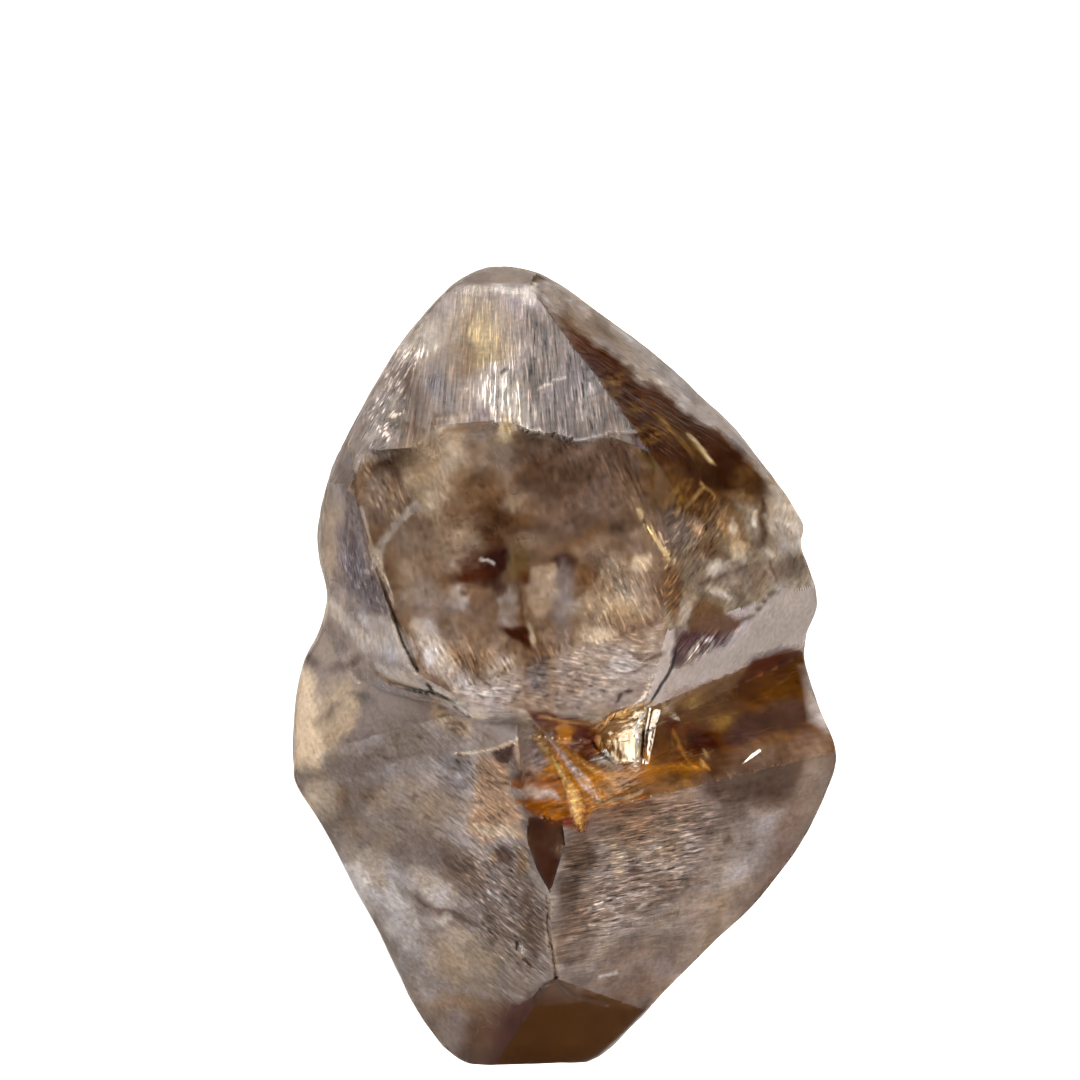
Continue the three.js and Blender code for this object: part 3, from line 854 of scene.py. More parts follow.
     [(-3.4, -0.05), (-3.11, -0.09), (-3.02, -0.39), (-3.04, -0.74), (-2.96, -1.0), (-3.11, -1.24),
      (-3.4, -1.25)]),
    ("left, peach", "sand", 0.85, 0.12, None, (-2.8, -0.6, 0.25, 0.45, -15)),
    ("left, green spot", "umber", 0.92, 0.06, None, (-2.52, -0.38, 0.13, 0.05, -8)),
    ("left, olive arc", "olive", 0.8, 0.05, None, (-2.7, 0.05, 0.2, 0.05, 12)),
    ("left, dark edge", "olive", 0.85, 0.06, None, (-3.12, 0.07, 0.1, 0.08, 0)),
    ("left, olive streak", "olive", 0.75, 0.06, None, (-2.9, -0.55, 0.13, 0.05, 40)),
    ("left, olive low", "nut", 0.88, 0.07, None, (-2.77, -1.6, 0.09, 0.11, 0)),
    ("left, olive low 2", "nut", 0.8, 0.06, None, (-2.46, -1.58, 0.08, 0.07, 0)),
    ("left, olive mid", "taupe", 0.6, 0.07, None, (-2.53, -1.2, 0.07, 0.1, 0)),
    ("left, beige low", "sand", 0.7, 0.15, None, (-3.05, -1.6, 0.25, 0.25, -30)),
    ("left, beige mid", "fawn", 0.8, 0.15, None, (-1.85, -1.65, 0.6, 0.25, -5)),
    ("left, blue grey", "mauve", 0.85, 0.1, None, (-1.35, -1.25, 0.2, 0.25, 0)),
    ("left, brown band", "fawn", 0.85, 0.1, None, (-2.15, -2.07, 0.55, 0.1, -12)),
    ("left, mauve band", "taupe", 0.85, 0.1, None, (-1.65, -2.25, 0.35, 0.14, -22)),
    ("left, pale upper", "ash", 0.85, 0.12, 0.45, (-2.35, -2.58, 0.55, 0.2, -48)),
    ("left, pale mid", "ash", 0.85, 0.1, 0.45, (-1.65, -2.7, 0.45, 0.15, -25)),
    ("left, pale edge", "pearl", 0.9, 0.08, 0.5, (-2.5, -2.8, 0.12, 0.35, 28)),
    ("left, dark line", "cocoa", 0.85, 0.04, None,
     [(-2.18, -2.63), (-1.92, -2.8), (-1.54, -2.93), (-1.17, -3.09), (-1.02, -3.21), (-1.34, -3.12),
      (-1.69, -2.98), (-2.03, -2.83)]),
    ("left, lavender", "pearl", 0.85, 0.12, 0.45, (-1.98, -3.2, 0.2, 0.42, 20)),
    ("left, peach spot", "shell", 0.6, 0.05, None, (-1.55, -3.1, 0.13, 0.08, 0)),
    ("left, beige wide", "beige", 0.85, 0.15, None, (-1.25, -3.55, 0.45, 0.3, -15)),
    ("left, streaks", "fawn", 0.7, 0.06, None, (-1.3, -3.85, 0.5, 0.06, -15)),
    ("left, streaks 2", "fawn", 0.7, 0.05, None, (-1.1, -4.0, 0.5, 0.05, -15)),
    ("left, low brown", "tan", 0.85, 0.12, None, (-1.25, -4.25, 0.6, 0.14, -8)),
    ("left, mottled dark", "cocoa", 0.8, 0.1, None, (-1.25, -2.5, 0.3, 0.2, -35)),
    ("left, etched", "taupe", 0.8, 0.12, None,
     [(-1.1, -2.37), (-0.47, -2.2), (-0.36, -2.78), (-0.27, -3.35), (-0.24, -3.7), (-0.42, -3.81),
      (-0.76, -3.58), (-1.05, -3.06)]),
    ("left, beside the edge", "cocoa", 0.75, 0.07, None, (-0.42, -3.1, 0.13, 0.45, 5)),
    ("left, brown spots", "umber", 0.85, 0.04, None, (-0.75, -2.27, 0.1, 0.12, 0)),
    ("left, orange fleck", "tan", 0.7, 0.03, None, (-0.86, -2.33, 0.04, 0.08, 0)),
    ("left, peach fleck", "tan", 0.8, 0.04, None, (-0.55, -2.35, 0.07, 0.16, 0)),
    ("peach block", "beige", 0.9, 0.05, None,
     [(-1.57, -0.42), (-1.24, -0.57), (-1.11, -0.57), (-1.18, -0.78), (-1.48, -0.74), (-1.59, -0.57)]),
    ("mauve shelf", "mauve", 0.88, 0.05, None,
     [(-1.11, -0.59), (-0.51, -0.57), (-0.55, -0.8), (-1.05, -0.98), (-1.16, -0.83)]),
    ("peach tall", "peach", 0.95, 0.05, None,
     [(-1.05, -1.1), (-0.66, -1.0), (-0.68, -1.5), (-0.6, -1.62), (-0.5, -2.05), (-0.75, -2.04),
      (-1.0, -2.15), (-1.18, -2.02), (-1.11, -1.56)]),
    ("peach tall, light", "sand", 0.8, 0.04, None, (-0.85, -1.98, 0.28, 0.08, 0)),
    ("peach tall, orange", "tan", 0.5, 0.06, None, (-0.85, -1.7, 0.2, 0.12, -35)),
    ("brown strip", "chestnut", 0.93, 0.03, 0.3,
     [(-0.92, -1.0), (-0.55, -0.85), (-0.6, -1.07), (-0.68, -1.15), (-0.79, -1.12), (-0.86, -1.07)]),
    # the gap under the rim
    ("gap, orange ground", "amber", 0.97, 0.03, 0.12,
     [(-0.65, -1.35), (-0.1, -0.85), (0.4, -0.9), (1.1, -1.18), (1.9, -1.17), (1.3, -1.34), (0.55, -1.6),
      (0.28, -1.8), (0.22, -2.02), (0.0, -1.95), (-0.6, -1.62)]),
    ("gap, brighter floor", "russet", 0.93, 0.08, 0.12, (-0.1, -1.65, 0.45, 0.3, -20)),
    ("gap, left brown", "rust", 0.95, 0.03, 0.12,
     [(-0.48, -0.46), (-0.25, -0.5), (0.3, -0.6), (0.38, -0.72), (0.42, -1.1), (0.11, -1.0), (-0.14, -0.86),
      (-0.36, -0.78)]),
    ("gap, orange upper", "honey", 0.93, 0.04, 0.1, (0.0, -0.8, 0.12, 0.12, -30)),
    ("gap, left glow", "gold", 0.85, 0.05, 0.12, (-0.27, -0.92, 0.07, 0.14, 20)),
    ("gap, red wedge", "chestnut", 0.93, 0.03, 0.1,
     [(0.12, -1.03), (0.45, -1.05), (0.72, -1.25), (0.5, -1.26)]),
    ("gap, grey wedge", "taupe", 0.96, 0.04, 0.3,
     [(-0.59, -0.9), (-0.52, -0.75), (-0.43, -0.75), (-0.2, -1.2), (-0.36, -1.27), (-0.63, -1.21)]),
    ("gap, violet band", "plum", 0.95, 0.04, 0.2, (-0.45, -1.29, 0.22, 0.06, 0)),
    ("gap, rust band", "rust", 0.9, 0.03, 0.12, (-0.3, -1.39, 0.3, 0.03, 0)),
    ("gap, grey streak", "mauve", 0.93, 0.03, 0.25,
     [(-0.66, -1.44), (-0.38, -1.43), (-0.1, -1.53), (-0.03, -1.62), (-0.3, -1.58), (-0.63, -1.55)]),
    ("gap, orange low", "russet", 0.9, 0.04, 0.12, (-0.12, -1.82, 0.3, 0.07, -28)),
    ("window, brown corner", "rust", 0.85, 0.06, 0.1, (0.5, -0.75, 0.2, 0.12, 30)),
    # The white on the bright facet is painted light: the glow of light refracted through the stone
    ("window, pale side", "white", 0.85, 0.05, 0.1, (0.86, -0.85, 0.08, 0.3, 5)),
    ("window, pale low", "white", 0.8, 0.05, 0.1, (0.65, -1.08, 0.2, 0.08, 10)),
    ("bar, golden foot", "honey", 0.9, 0.06, 0.12, (1.05, -1.12, 0.1, 0.1, 0)),
    ("right of the bar, rust", "rust", 0.9, 0.04, 0.12, (1.4, -0.72, 0.17, 0.2, 0)),
    ("right of the bar, orange", "russet", 0.93, 0.03, 0.12,
     [(1.2, -0.86), (1.36, -0.99), (1.52, -1.16), (1.75, -1.2), (1.3, -1.26), (1.15, -1.2)]),
    ("recess, golden", "nut", 0.5, 0.07, 0.12,
     [(1.25, -0.3), (1.93, -0.12), (2.2, -0.07), (2.25, -0.5), (2.0, -0.78), (1.6, -0.82), (1.4, -0.7)]),
    ("recess, gold spot", "gold", 0.85, 0.05, 0.1, (1.6, -0.45, 0.14, 0.08, 20)),
    ("recess, gold spot 2", "bronze", 0.85, 0.05, 0.1, (1.98, -0.65, 0.17, 0.07, 25)),
    ("recess, dark pocket", "chestnut", 0.95, 0.06, 0.1, (1.68, -0.98, 0.2, 0.14, 10)),
    ("recess, dark end", "walnut", 0.96, 0.09, 0.1,
     [(2.2, 0.06), (2.99, 0.27), (3.02, -0.39), (2.75, -0.42), (2.34, -0.45), (2.1, -0.3)]),
    ("recess, red brown", "plum", 0.88, 0.07, 0.15,
     [(2.1, -0.62), (2.5, -0.42), (3.05, -0.4), (3.2, -0.7), (2.7, -0.85), (2.2, -1.0), (1.95, -0.9)]),
    ("recess, mauve fold", "storm", 0.85, 0.05, 0.2, (2.92, -0.9, 0.2, 0.06, 20)),
    ("recess, far end", "umber", 0.9, 0.06, 0.3, (3.2, -0.9, 0.14, 0.3, 20)),
    ("recess, low edge", "nut", 0.85, 0.06, 0.2, (2.55, -0.99, 0.45, 0.08, 8)),
    # Lighter along the right outline: partly painted reflection of the light from below
    ("recess, pale rim", "dove", 0.9, 0.05, 0.3,
     [(3.0, 0.0), (3.12, 0.0), (3.32, -0.8), (3.2, -0.85), (3.04, -0.45)]),
    # lower right face
    ("right, brown top", "cocoa", 0.92, 0.12, None,
     [(1.7, -1.15), (2.1, -1.05), (2.6, -1.0), (3.1, -0.95), (3.05, -1.4), (2.5, -1.7), (1.85, -1.75),
      (1.6, -1.4)]),
    ("right, brown waist", "umber", 0.88, 0.06, None, (1.9, -1.2, 0.2, 0.13, 0)),
    ("right, orange tan", "nut", 0.75, 0.08, None, (0.65, -1.62, 0.42, 0.14, 0)),
    ("right, tan", "tan", 0.35, 0.1, None,
     [(0.62, -1.5), (1.12, -1.4), (1.6, -1.45), (1.6, -1.9), (1.35, -2.4), (0.8, -2.42), (0.5, -2.1),
      (0.4, -1.8)]),
    ("right, tan upright", "beige", 0.85, 0.05, None, (0.62, -2.4, 0.07, 0.3, 5)),
    ("right, grey spot", "plum", 0.8, 0.06, None, (0.85, -1.42, 0.2, 0.05, 0)),
    ("right, mauve brown", "taupe", 0.85, 0.12, None, (1.9, -1.85, 0.3, 0.25, 20)),
    ("right, pale blocks", "dove", 0.85, 0.07, None, (2.4, -1.98, 0.3, 0.14, 10)),
    ("right, dark waist end", "cocoa", 0.9, 0.1, None, (2.62, -1.66, 0.35, 0.14, 12)),
    ("right, dark streak", "taupe", 0.8, 0.06, None, (2.3, -2.25, 0.35, 0.06, 15)),
    ("right, far edge", "fawn", 0.85, 0.12, None, (3.12, -1.5, 0.2, 0.5, -15)),
    ("right, pale low", "dove", 0.85, 0.15, 0.5, (2.1, -2.55, 0.55, 0.25, 35)),
    ("right, beige low", "fawn", 0.85, 0.12, 0.5, (2.0, -2.95, 0.4, 0.2, 38)),
    ("right, violet dark", "cocoa", 0.92, 0.09, None, (0.22, -2.3, 0.24, 0.28, 0)),
    ("right, violet low", "plum", 0.8, 0.08, None, (0.1, -2.68, 0.2, 0.15, 0)),
    ("right, dark scribble", "umber", 0.85, 0.04, None, (0.82, -2.52, 0.13, 0.06, 15)),
    ("right, etched", "taupe", 0.8, 0.12, None,
     [(0.3, -2.7), (0.62, -2.6), (1.7, -2.45), (1.6, -2.85), (0.77, -3.15), (0.33, -3.25)]),
    ("right, beside the edge", "cocoa", 0.75, 0.12, None, (0.12, -3.05, 0.25, 0.45, 8)),
    ("right, tan patch", "taupe", 0.88, 0.06, None, (0.05, -3.45, 0.22, 0.2, 10)),
    ("right, smooth", "taupe", 0.9, 0.12, 0.5,
     [(0.0, -3.85), (0.56, -3.47), (1.4, -3.2), (1.72, -3.3), (1.5, -3.75), (1.1, -4.0), (0.56, -4.1),
      (0.13, -4.0)]),
    ("right, beige edge", "fawn", 0.85, 0.12, 0.5, (1.7, -3.4, 0.35, 0.15, 45)),
    # tear and foot
    ("tear, grey top", "plum", 0.9, 0.06, 0.2, (-0.33, -1.93, 0.17, 0.12, -35)),
    ("foot, top", "cocoa", 0.95, 0.03, 0.3,
     [(-0.11, -3.83), (0.2, -4.08), (0.3, -4.2), (-0.5, -4.2), (-0.33, -4.02)]),
    ("foot, brown", "walnut", 0.85, 0.16, 0.3,
     [(-0.45, -4.14), (0.5, -4.16), (0.9, -4.5), (0.3, -5.2), (-1.0, -5.2), (-0.9, -4.45)]),
    ("foot, left flank", "walnut", 0.85, 0.25, 0.4,
     [(-1.15, -4.35), (-0.5, -4.2), (-0.3, -4.6), (-0.3, -5.4), (-1.5, -5.4), (-1.4, -4.9)]),
    ("foot, beside the fork", "walnut", 0.7, 0.1, 0.3, (-0.5, -4.32, 0.36, 0.14, 42)),
    ("foot, left, brown edge", "nut", 0.6, 0.15, 0.4, (-1.12, -4.7, 0.2, 0.3, -30)),
    ("foot, left, paler", "taupe", 0.85, 0.12, 0.4, (-1.5, -4.5, 0.25, 0.2, -50)),
    ("foot, right haze", "nut", 0.6, 0.15, 0.4, (0.95, -4.12, 0.35, 0.12, 15)),
    ("foot, right flank", "walnut", 0.85, 0.18, 0.4,
     [(0.3, -4.2), (0.8, -4.3), (1.1, -4.25), (0.95, -4.5), (0.4, -5.1), (0.2, -4.6)]),
    ("foot, deep", "peat", 0.3, 0.2, 0.3, (-0.2, -5.0, 1.0, 0.2, 0)),
]
THINNEST = 0.021       # half width of the thinnest stroke that the mesh can hold, in mm
# Strokes: what they are, colour, strength, half width in mm, dullness, one line or more in mm
STROKES = [
    ("left crack, thin", "umber", 0.9, 0.012, 0.3,
     [(-2.64, 2.71), (-2.6, 2.34), (-2.55, 2.04), (-2.44, 1.52), (-2.32, 1.22), (-2.23, 1.0), (-2.14, 0.76)]),
    ("left crack", "ink", 0.97, 0.022, 0.3,
     [(-2.14, 0.76), (-2.06, 0.58), (-1.99, 0.36), (-1.94, 0.24), (-1.87, 0.11), (-1.79, -0.02)]),
    ("crack lip", "shell", 0.7, 0.016, 0.3,
     [(-2.5, 1.95), (-2.38, 1.55), (-2.26, 1.25), (-2.17, 1.0), (-2.1, 0.8)]),
    ("rim crack", "ink", 0.97, 0.032, 0.3, [(-2.15, -0.18), (-1.94, -0.24), (-1.7, -0.31), (-1.59, -0.3)]),
    ("rim crack, end", "ink", 0.97, 0.03, 0.3,
     [(-1.68, -0.2), (-1.59, -0.29), (-1.46, -0.34), (-1.34, -0.4)]),
    ("rim crack, last", "peat", 0.95, 0.012, 0.3, [(-1.35, -0.46), (-1.27, -0.5), (-1.18, -0.58)]),
    ("rim crack, light", "white", 0.9, 0.01, 0.2,
     [(-1.6, -0.26), (-1.45, -0.33), (-1.33, -0.42), (-1.2, -0.54)]),
    ("rim crack, shade", "tan", 0.8, 0.035, 0.4, [(-2.35, -0.05), (-2.2, -0.15), (-2.0, -0.22)]),
    ("seam", "cocoa", 0.85, 0.022, None, [(-0.56, 1.0), (-0.52, 0.64), (-0.48, 0.5)]),
    ("seam, low", "taupe", 0.7, 0.018, None, [(-0.5, 0.22), (-0.48, 0.0), (-0.48, -0.49)]),
    ("black line", "ink", 0.97, 0.024, 0.3,
     [(1.35, 0.2), (1.29, 0.03), (1.21, -0.12), (1.11, -0.28), (1.01, -0.42)]),
    ("rim edge glow", "gold", 0.8, 0.014, None,
     [(-0.31, -0.56), (-0.01, -0.63), (0.33, -0.68), (0.6, -0.52), (0.88, -0.4), (1.06, -0.42)]),
    ("pale streak", "pearl", 0.8, 0.06, None, [(-1.85, 1.98), (-2.08, 1.75), (-2.25, 1.5), (-2.3, 1.3)]),
    ("pale streak, low", "shell", 0.6, 0.03, None, [(-2.3, 1.45), (-2.25, 1.25), (-2.22, 1.05)]),
    ("slanted line", "umber", 0.85, 0.012, None, [(0.55, 2.82), (0.66, 2.56), (0.81, 2.28), (0.93, 2.05)]),
    ("slanted line 2", "umber", 0.85, 0.014, None, [(0.68, 2.75), (0.82, 2.42), (0.97, 2.08)]),
    ("ridge, low", "cocoa", 0.85, 0.014, None,
     [(1.15, 1.0), (1.12, 0.88), (1.24, 0.67), (1.33, 0.49), (1.36, 0.3)]),
    # A gold strip along the ridge, painted as sparkling light: a painted highlight
    ("ridge, gold", "straw", 0.92, 0.035, 0.15, [(0.9, 1.92), (1.02, 1.68), (1.15, 1.48), (1.25, 1.35)]),
    ("ridge, hole", "chestnut", 0.95, 0.03, 0.15, [(0.95, 1.79), (0.99, 1.75)]),
    ("chip 1", "cocoa", 0.9, 0.016, None, [(0.81, 0.18), (0.97, 0.17), (1.21, 0.19)]),
    ("chip 2", "cocoa", 0.9, 0.02, None, [(0.85, 0.15), (1.0, 0.11), (1.15, 0.15)]),
    ("crescent edge", "cocoa", 0.9, 0.012, None,
     [(0.46, 0.08), (0.55, -0.01), (0.69, -0.05), (0.85, -0.02), (0.98, 0.06)]),
    ("wavy line", "taupe", 0.8, 0.01, None,
     [(0.08, 0.0), (0.24, -0.04), (0.36, -0.02), (0.48, -0.05)],
     [(0.12, -0.12), (0.3, -0.14), (0.48, -0.12), (0.62, -0.16)]),
    ("wavy line, upper", "taupe", 0.7, 0.01, None, [(0.5, 0.5), (0.68, 0.52), (0.85, 0.48), (1.0, 0.52)]),
    ("wavy line, middle", "fawn", 0.7, 0.01, None, [(0.6, 0.32), (0.78, 0.35), (0.95, 0.31)]),
    ("scribble 1", "cocoa", 0.85, 0.012, None, [(-1.35, 0.11), (-1.23, 0.17), (-1.26, 0.06), (-1.15, 0.01)]),
    ("scribble 2", "cocoa", 0.85, 0.014, None, [(-0.91, -0.2), (-0.85, -0.33), (-0.81, -0.36)]),
    ("scribble 3", "taupe", 0.75, 0.014, None, [(-0.83, -0.1), (-0.74, -0.02), (-0.68, 0.05)]),
    ("scribble 4", "taupe", 0.7, 0.014, None,
     [(-0.62, -0.32), (-0.5, -0.23)], [(-0.1, -0.42), (-0.02, -0.44), (0.02, -0.38)]),
    # A painted highlight: a white glint
    ("white speck 3", "pearl", 0.85, 0.018, None, [(-1.04, 1.32), (-0.95, 1.31), (-0.87, 1.27)]),
    ("dark slot", "plum", 0.95, 0.018, 0.2, [(-0.79, 3.6), (-0.71, 3.68)]),
    ("plate dashes", "ivory", 0.9, 0.014, 0.2,
     [(-1.29, 3.42), (-1.19, 3.43)], [(-0.33, 3.41), (-0.2, 3.47), (-0.17, 3.45)]),
    ("plate dash, thin", "ivory", 0.8, 0.012, 0.2, [(-0.13, 3.52), (-0.01, 3.54)]),
    ("plate edge, left", "ivory", 0.9, 0.022, 0.2,
     [(-0.92, 3.07), (-0.85, 3.02), (-0.73, 3.02), (-0.6, 3.03), (-0.49, 2.92), (-0.4, 2.88), (-0.27, 2.89)]),
    ("plate edge, right", "pearl", 0.85, 0.02, 0.2,
     [(-0.05, 2.92), (0.01, 2.83), (0.15, 2.77), (0.32, 2.83), (0.47, 2.84), (0.55, 2.9), (0.67, 2.86),
      (0.87, 2.87)]),
    ("bevel gold edge", "beige", 0.8, 0.014, 0.2, [(-2.66, 2.72), (-2.62, 2.58), (-2.58, 2.41)]),
    ("arch line", "tan", 0.85, 0.016, None, [(-1.61, 2.69), (-1.56, 2.81), (-1.44, 2.92), (-1.26, 2.9)]),
    ("bright line", "cream", 0.92, 0.012, 0.2,
     [(-1.35, -1.04), (-1.1, -1.03), (-0.83, -0.97), (-0.57, -0.86)]),
    ("bright line 2", "pearl", 0.6, 0.01, None, [(-1.35, -1.33), (-1.14, -1.31)]),
    ("block dashes", "cocoa", 0.85, 0.012, None,
     [(-1.53, -0.48), (-1.44, -0.48)], [(-1.53, -0.59), (-1.33, -0.55)], [(-1.46, -0.68), (-1.25, -0.66)],
     [(-1.4, -0.75), (-1.22, -0.72)]),
    ("block dash, low", "umber", 0.85, 0.014, None, [(-1.07, -1.2), (-0.94, -1.27)]),
    ("block dash, low 2", "umber", 0.85, 0.012, None, [(-0.96, -1.37), (-0.7, -1.38)]),
    ("block dash, low 3", "nut", 0.85, 0.012, None, [(-0.88, -1.2), (-0.68, -1.18)]),
    ("shelf dashes", "cocoa", 0.85, 0.012, None,
     [(-0.96, -0.61), (-0.83, -0.59)], [(-0.68, -0.62), (-0.6, -0.6)], [(-0.64, -0.71), (-0.55, -0.68)]),
    ("dots", "peat", 0.95, 0.018, None, [(-1.33, -1.12), (-1.3, -1.16)]),
    ("dots 2", "peat", 0.95, 0.016, None, [(-1.17, -1.13), (-1.14, -1.17)]),
    ("dots 3", "plum", 0.95, 0.016, None, [(-1.31, -1.05), (-1.27, -1.06)]),
    ("smudge 1", "taupe", 0.75, 0.03, None, [(-1.72, -1.83), (-1.58, -1.9)]),
    ("smudge 2", "taupe", 0.7, 0.025, None, [(-1.98, -1.56), (-1.85, -1.63)]),
    ("smudge 3", "taupe", 0.7, 0.014, None, [(-1.52, -1.48), (-1.35, -1.58), (-1.25, -1.7)]),
    ("window left edge", "chestnut", 0.92, 0.02, 0.1,
     [(0.28, -0.72), (0.3, -0.88), (0.49, -1.1), (0.68, -1.22)]),
    ("window top edge", "nut", 0.9, 0.02, 0.1, [(0.28, -0.72), (0.57, -0.53), (0.98, -0.43)]),
    ("window right edge", "peat", 0.97, 0.014, 0.1, [(0.985, -0.48), (0.95, -0.82), (0.915, -1.18)]),
    ("window crease 1", "russet", 0.85, 0.01, 0.1,
     [(0.42, -0.98), (0.52, -1.05), (0.66, -1.02), (0.8, -1.1)]),
    ("window crease 2", "bronze", 0.8, 0.01, 0.1, [(0.5, -0.88), (0.62, -0.94), (0.78, -0.9)]),
    ("window crease 3", "bronze", 0.85, 0.01, 0.1, [(0.82, -0.58), (0.8, -0.8), (0.84, -1.0)]),
    # A painted highlight along a crease of the bright facet
    ("window crease 4", "white", 0.85, 0.012, 0.1,
     [(0.48, -1.02), (0.6, -1.12), (0.72, -1.08), (0.86, -1.15)]),
    ("gap lip", "honey", 0.9, 0.012, 0.15, [(0.43, -1.33), (0.84, -1.29), (1.17, -1.24), (1.75, -1.21)]),
    ("gap lip, low", "bronze", 0.8, 0.014, 0.15,
     [(0.95, -1.43), (0.73, -1.57), (0.43, -1.65), (0.22, -1.87)]),
    ("recess hair 1", "cream", 0.85, 0.01, 0.1, [(1.18, -0.42), (1.26, -0.56), (1.38, -0.65)]),
    ("recess hair 2", "gold", 0.8, 0.01, 0.1, [(1.2, -0.5), (1.3, -0.61)]),
    ("recess hair 3", "honey", 0.9, 0.01, 0.1, [(1.32, -0.8), (1.42, -1.0), (1.5, -1.17)]),
    ("recess hair 4", "gold", 0.9, 0.01, 0.1, [(1.69, -1.2), (1.74, -1.0)]),
    ("recess hair 5", "nut", 0.9, 0.012, 0.1, [(1.17, -1.21), (1.39, -1.02), (1.55, -1.1)]),
    ("front edge", "umber", 0.92, 0.016, 0.3,
     [(-0.23, -2.78), (-0.23, -3.15), (-0.18, -3.41), (-0.13, -3.67), (-0.11, -3.83)]),
    ("fork left", "umber", 0.88, 0.016, 0.3,
     [(-0.11, -3.83), (-0.24, -3.9), (-0.36, -4.04), (-0.42, -4.19), (-0.56, -4.39)]),
    ("fork right", "umber", 0.85, 0.014, 0.3,
     [(-0.11, -3.83), (-0.01, -3.96), (0.1, -4.06), (0.36, -4.15), (0.51, -4.19)]),
    ("pit", "ink", 0.97, 0.024, 0.2, [(-0.61, -3.38), (-0.62, -3.48)]),
    ("pit, light", "shell", 0.9, 0.016, 0.2, [(-0.56, -3.42), (-0.53, -3.5)]),
    ("pit, low", "plum", 0.9, 0.03, 0.2, [(-0.52, -3.6), (-0.44, -3.68)]),
    ("edge light", "beige", 0.75, 0.014, None, [(-0.2, -2.78), (-0.2, -3.15), (-0.14, -3.41), (-0.09, -3.7)]),
    ("low glint", "pearl", 0.8, 0.012, None, [(0.42, -3.83), (0.65, -3.78)]),
    ("low glint 2", "ash", 0.7, 0.012, None, [(-0.95, -3.95), (-0.7, -4.05), (-0.5, -4.1)]),
    ("ridge glow", "dove", 0.4, 0.012, 0.2, [(-0.04, 4.01), (0.27, 3.7), (0.57, 3.28), (0.87, 2.88)]),
    # The gold streaks are painted glints: light reflected inside the stone
    ("gold streak", "straw", 0.95, 0.03, 0.1, [(1.52, 2.84), (1.64, 2.71), (1.8, 2.52)]),
    ("gold streak, dark", "bronze", 0.85, 0.012, 0.1, [(1.55, 2.76), (1.68, 2.62)]),
    ("gold streak 2", "gold", 0.85, 0.02, 0.1, [(1.66, 2.25), (1.8, 2.13), (1.84, 2.05)]),
    ("gold streak 3", "gold", 0.85, 0.012, 0.1, [(1.33, 1.88), (1.5, 1.98), (1.68, 2.2)]),
    ("gold streak 4", "bronze", 0.7, 0.03, 0.1, [(1.15, 3.1), (1.35, 2.85), (1.55, 2.6)]),
    ("white glint", "ivory", 0.95, 0.03, 0.1, [(2.34, 1.94), (2.32, 1.75)]),
    ("flank glint", "ivory", 0.9, 0.035, 0.3, [(2.49, 1.41), (2.54, 1.39)]),
    ("ledge, dark", "cocoa", 0.85, 0.018, None, [(1.6, 1.01), (2.09, 1.18), (2.49, 1.3)]),
    ("ledge, dark 2", "cocoa", 0.85, 0.022, None, [(2.12, 0.54), (2.33, 0.66), (2.5, 0.85), (2.64, 0.97)]),
    ("ledge, dark 3", "nut", 0.8, 0.02, None, [(2.52, 1.3), (2.61, 1.06), (2.55, 1.0)]),
    ("jagged light", "shell", 0.9, 0.016, 0.15, [(1.5, 0.12), (1.55, 0.24), (1.62, 0.2), (1.6, 0.3)]),
    ("jagged light 2", "pearl", 0.9, 0.014, 0.15, [(1.66, 0.34), (1.8, 0.33), (1.78, 0.27)]),
    ("dashes at the right", "cocoa", 0.8, 0.014, None,
     [(1.0, -3.13), (1.15, -3.09), (1.38, -3.05)], [(0.7, -3.2), (0.82, -3.18)],
     [(0.75, -2.98), (0.9, -2.94)]),
    ("light scratches", "ash", 0.8, 0.01, None, [(0.5, -2.85), (0.75, -2.83), (1.0, -2.76)]),
    ("light scratches, thin", "ash", 0.75, 0.01, None,
     [(0.3, -3.2), (0.52, -3.15), (0.7, -3.1)], [(-0.95, -2.75), (-0.75, -2.9), (-0.6, -3.08)],
     [(-0.85, -3.15), (-0.65, -3.25)]),
]
# Tufts of short marks: what they are, colour, strength, how many, half width, where (middle, half widths and
# turn of an oval, in mm and degrees), how long and which way they run
TUFTS = [
    ("hairs on the dark face", "bronze", 0.5, 26, 0.012, (0.85, 3.12, 0.62, 0.16, -52), 0.2, 28),
    ("dark hairs", "chestnut", 0.8, 16, 0.016, (0.5, 3.55, 0.5, 0.1, -52), 0.22, 20),
    ("growth lines, olive", "bronze", 0.45, 12, 0.014, (1.4, 2.1, 0.22, 0.16, 0), 0.22, 30),
    ("etch dashes, left", "cocoa", 0.6, 46, 0.018, (-1.75, -1.45, 1.0, 0.6, -12), 0.12, -12),
    ("etch dashes, low left", "cocoa", 0.6, 34, 0.018, (-0.85, -2.75, 0.5, 0.65, 20), 0.12, -50),
    ("etch dashes, right", "cocoa", 0.6, 46, 0.018, (1.3, -2.35, 0.85, 0.5, 25), 0.13, -6),
    ("pale dashes, right", "shell", 0.55, 24, 0.014, (0.9, -2.7, 0.8, 0.5, 20), 0.12, 0),
    ("rust dashes", "russet", 0.7, 22, 0.016, (0.7, -1.62, 0.42, 0.12, 10), 0.12, 8),
    ("dark dashes, upper right", "umber", 0.7, 22, 0.018, (2.3, -1.5, 0.6, 0.2, 5), 0.14, 10),
    ("dashes, shoulder", "cocoa", 0.6, 18, 0.016, (1.9, 1.3, 0.6, 0.22, 12), 0.12, 20),
    ("dashes, left of the crack", "cocoa", 0.6, 18, 0.016, (-2.45, 1.25, 0.14, 0.5, 25), 0.1, -60),
]
LEFT_HOLLOW = [(-1.3, -2.3), (-0.5, -2.2), (-0.25, -3.0), (-0.2, -3.6), (-0.4, -3.9), (-0.9, -3.4)]
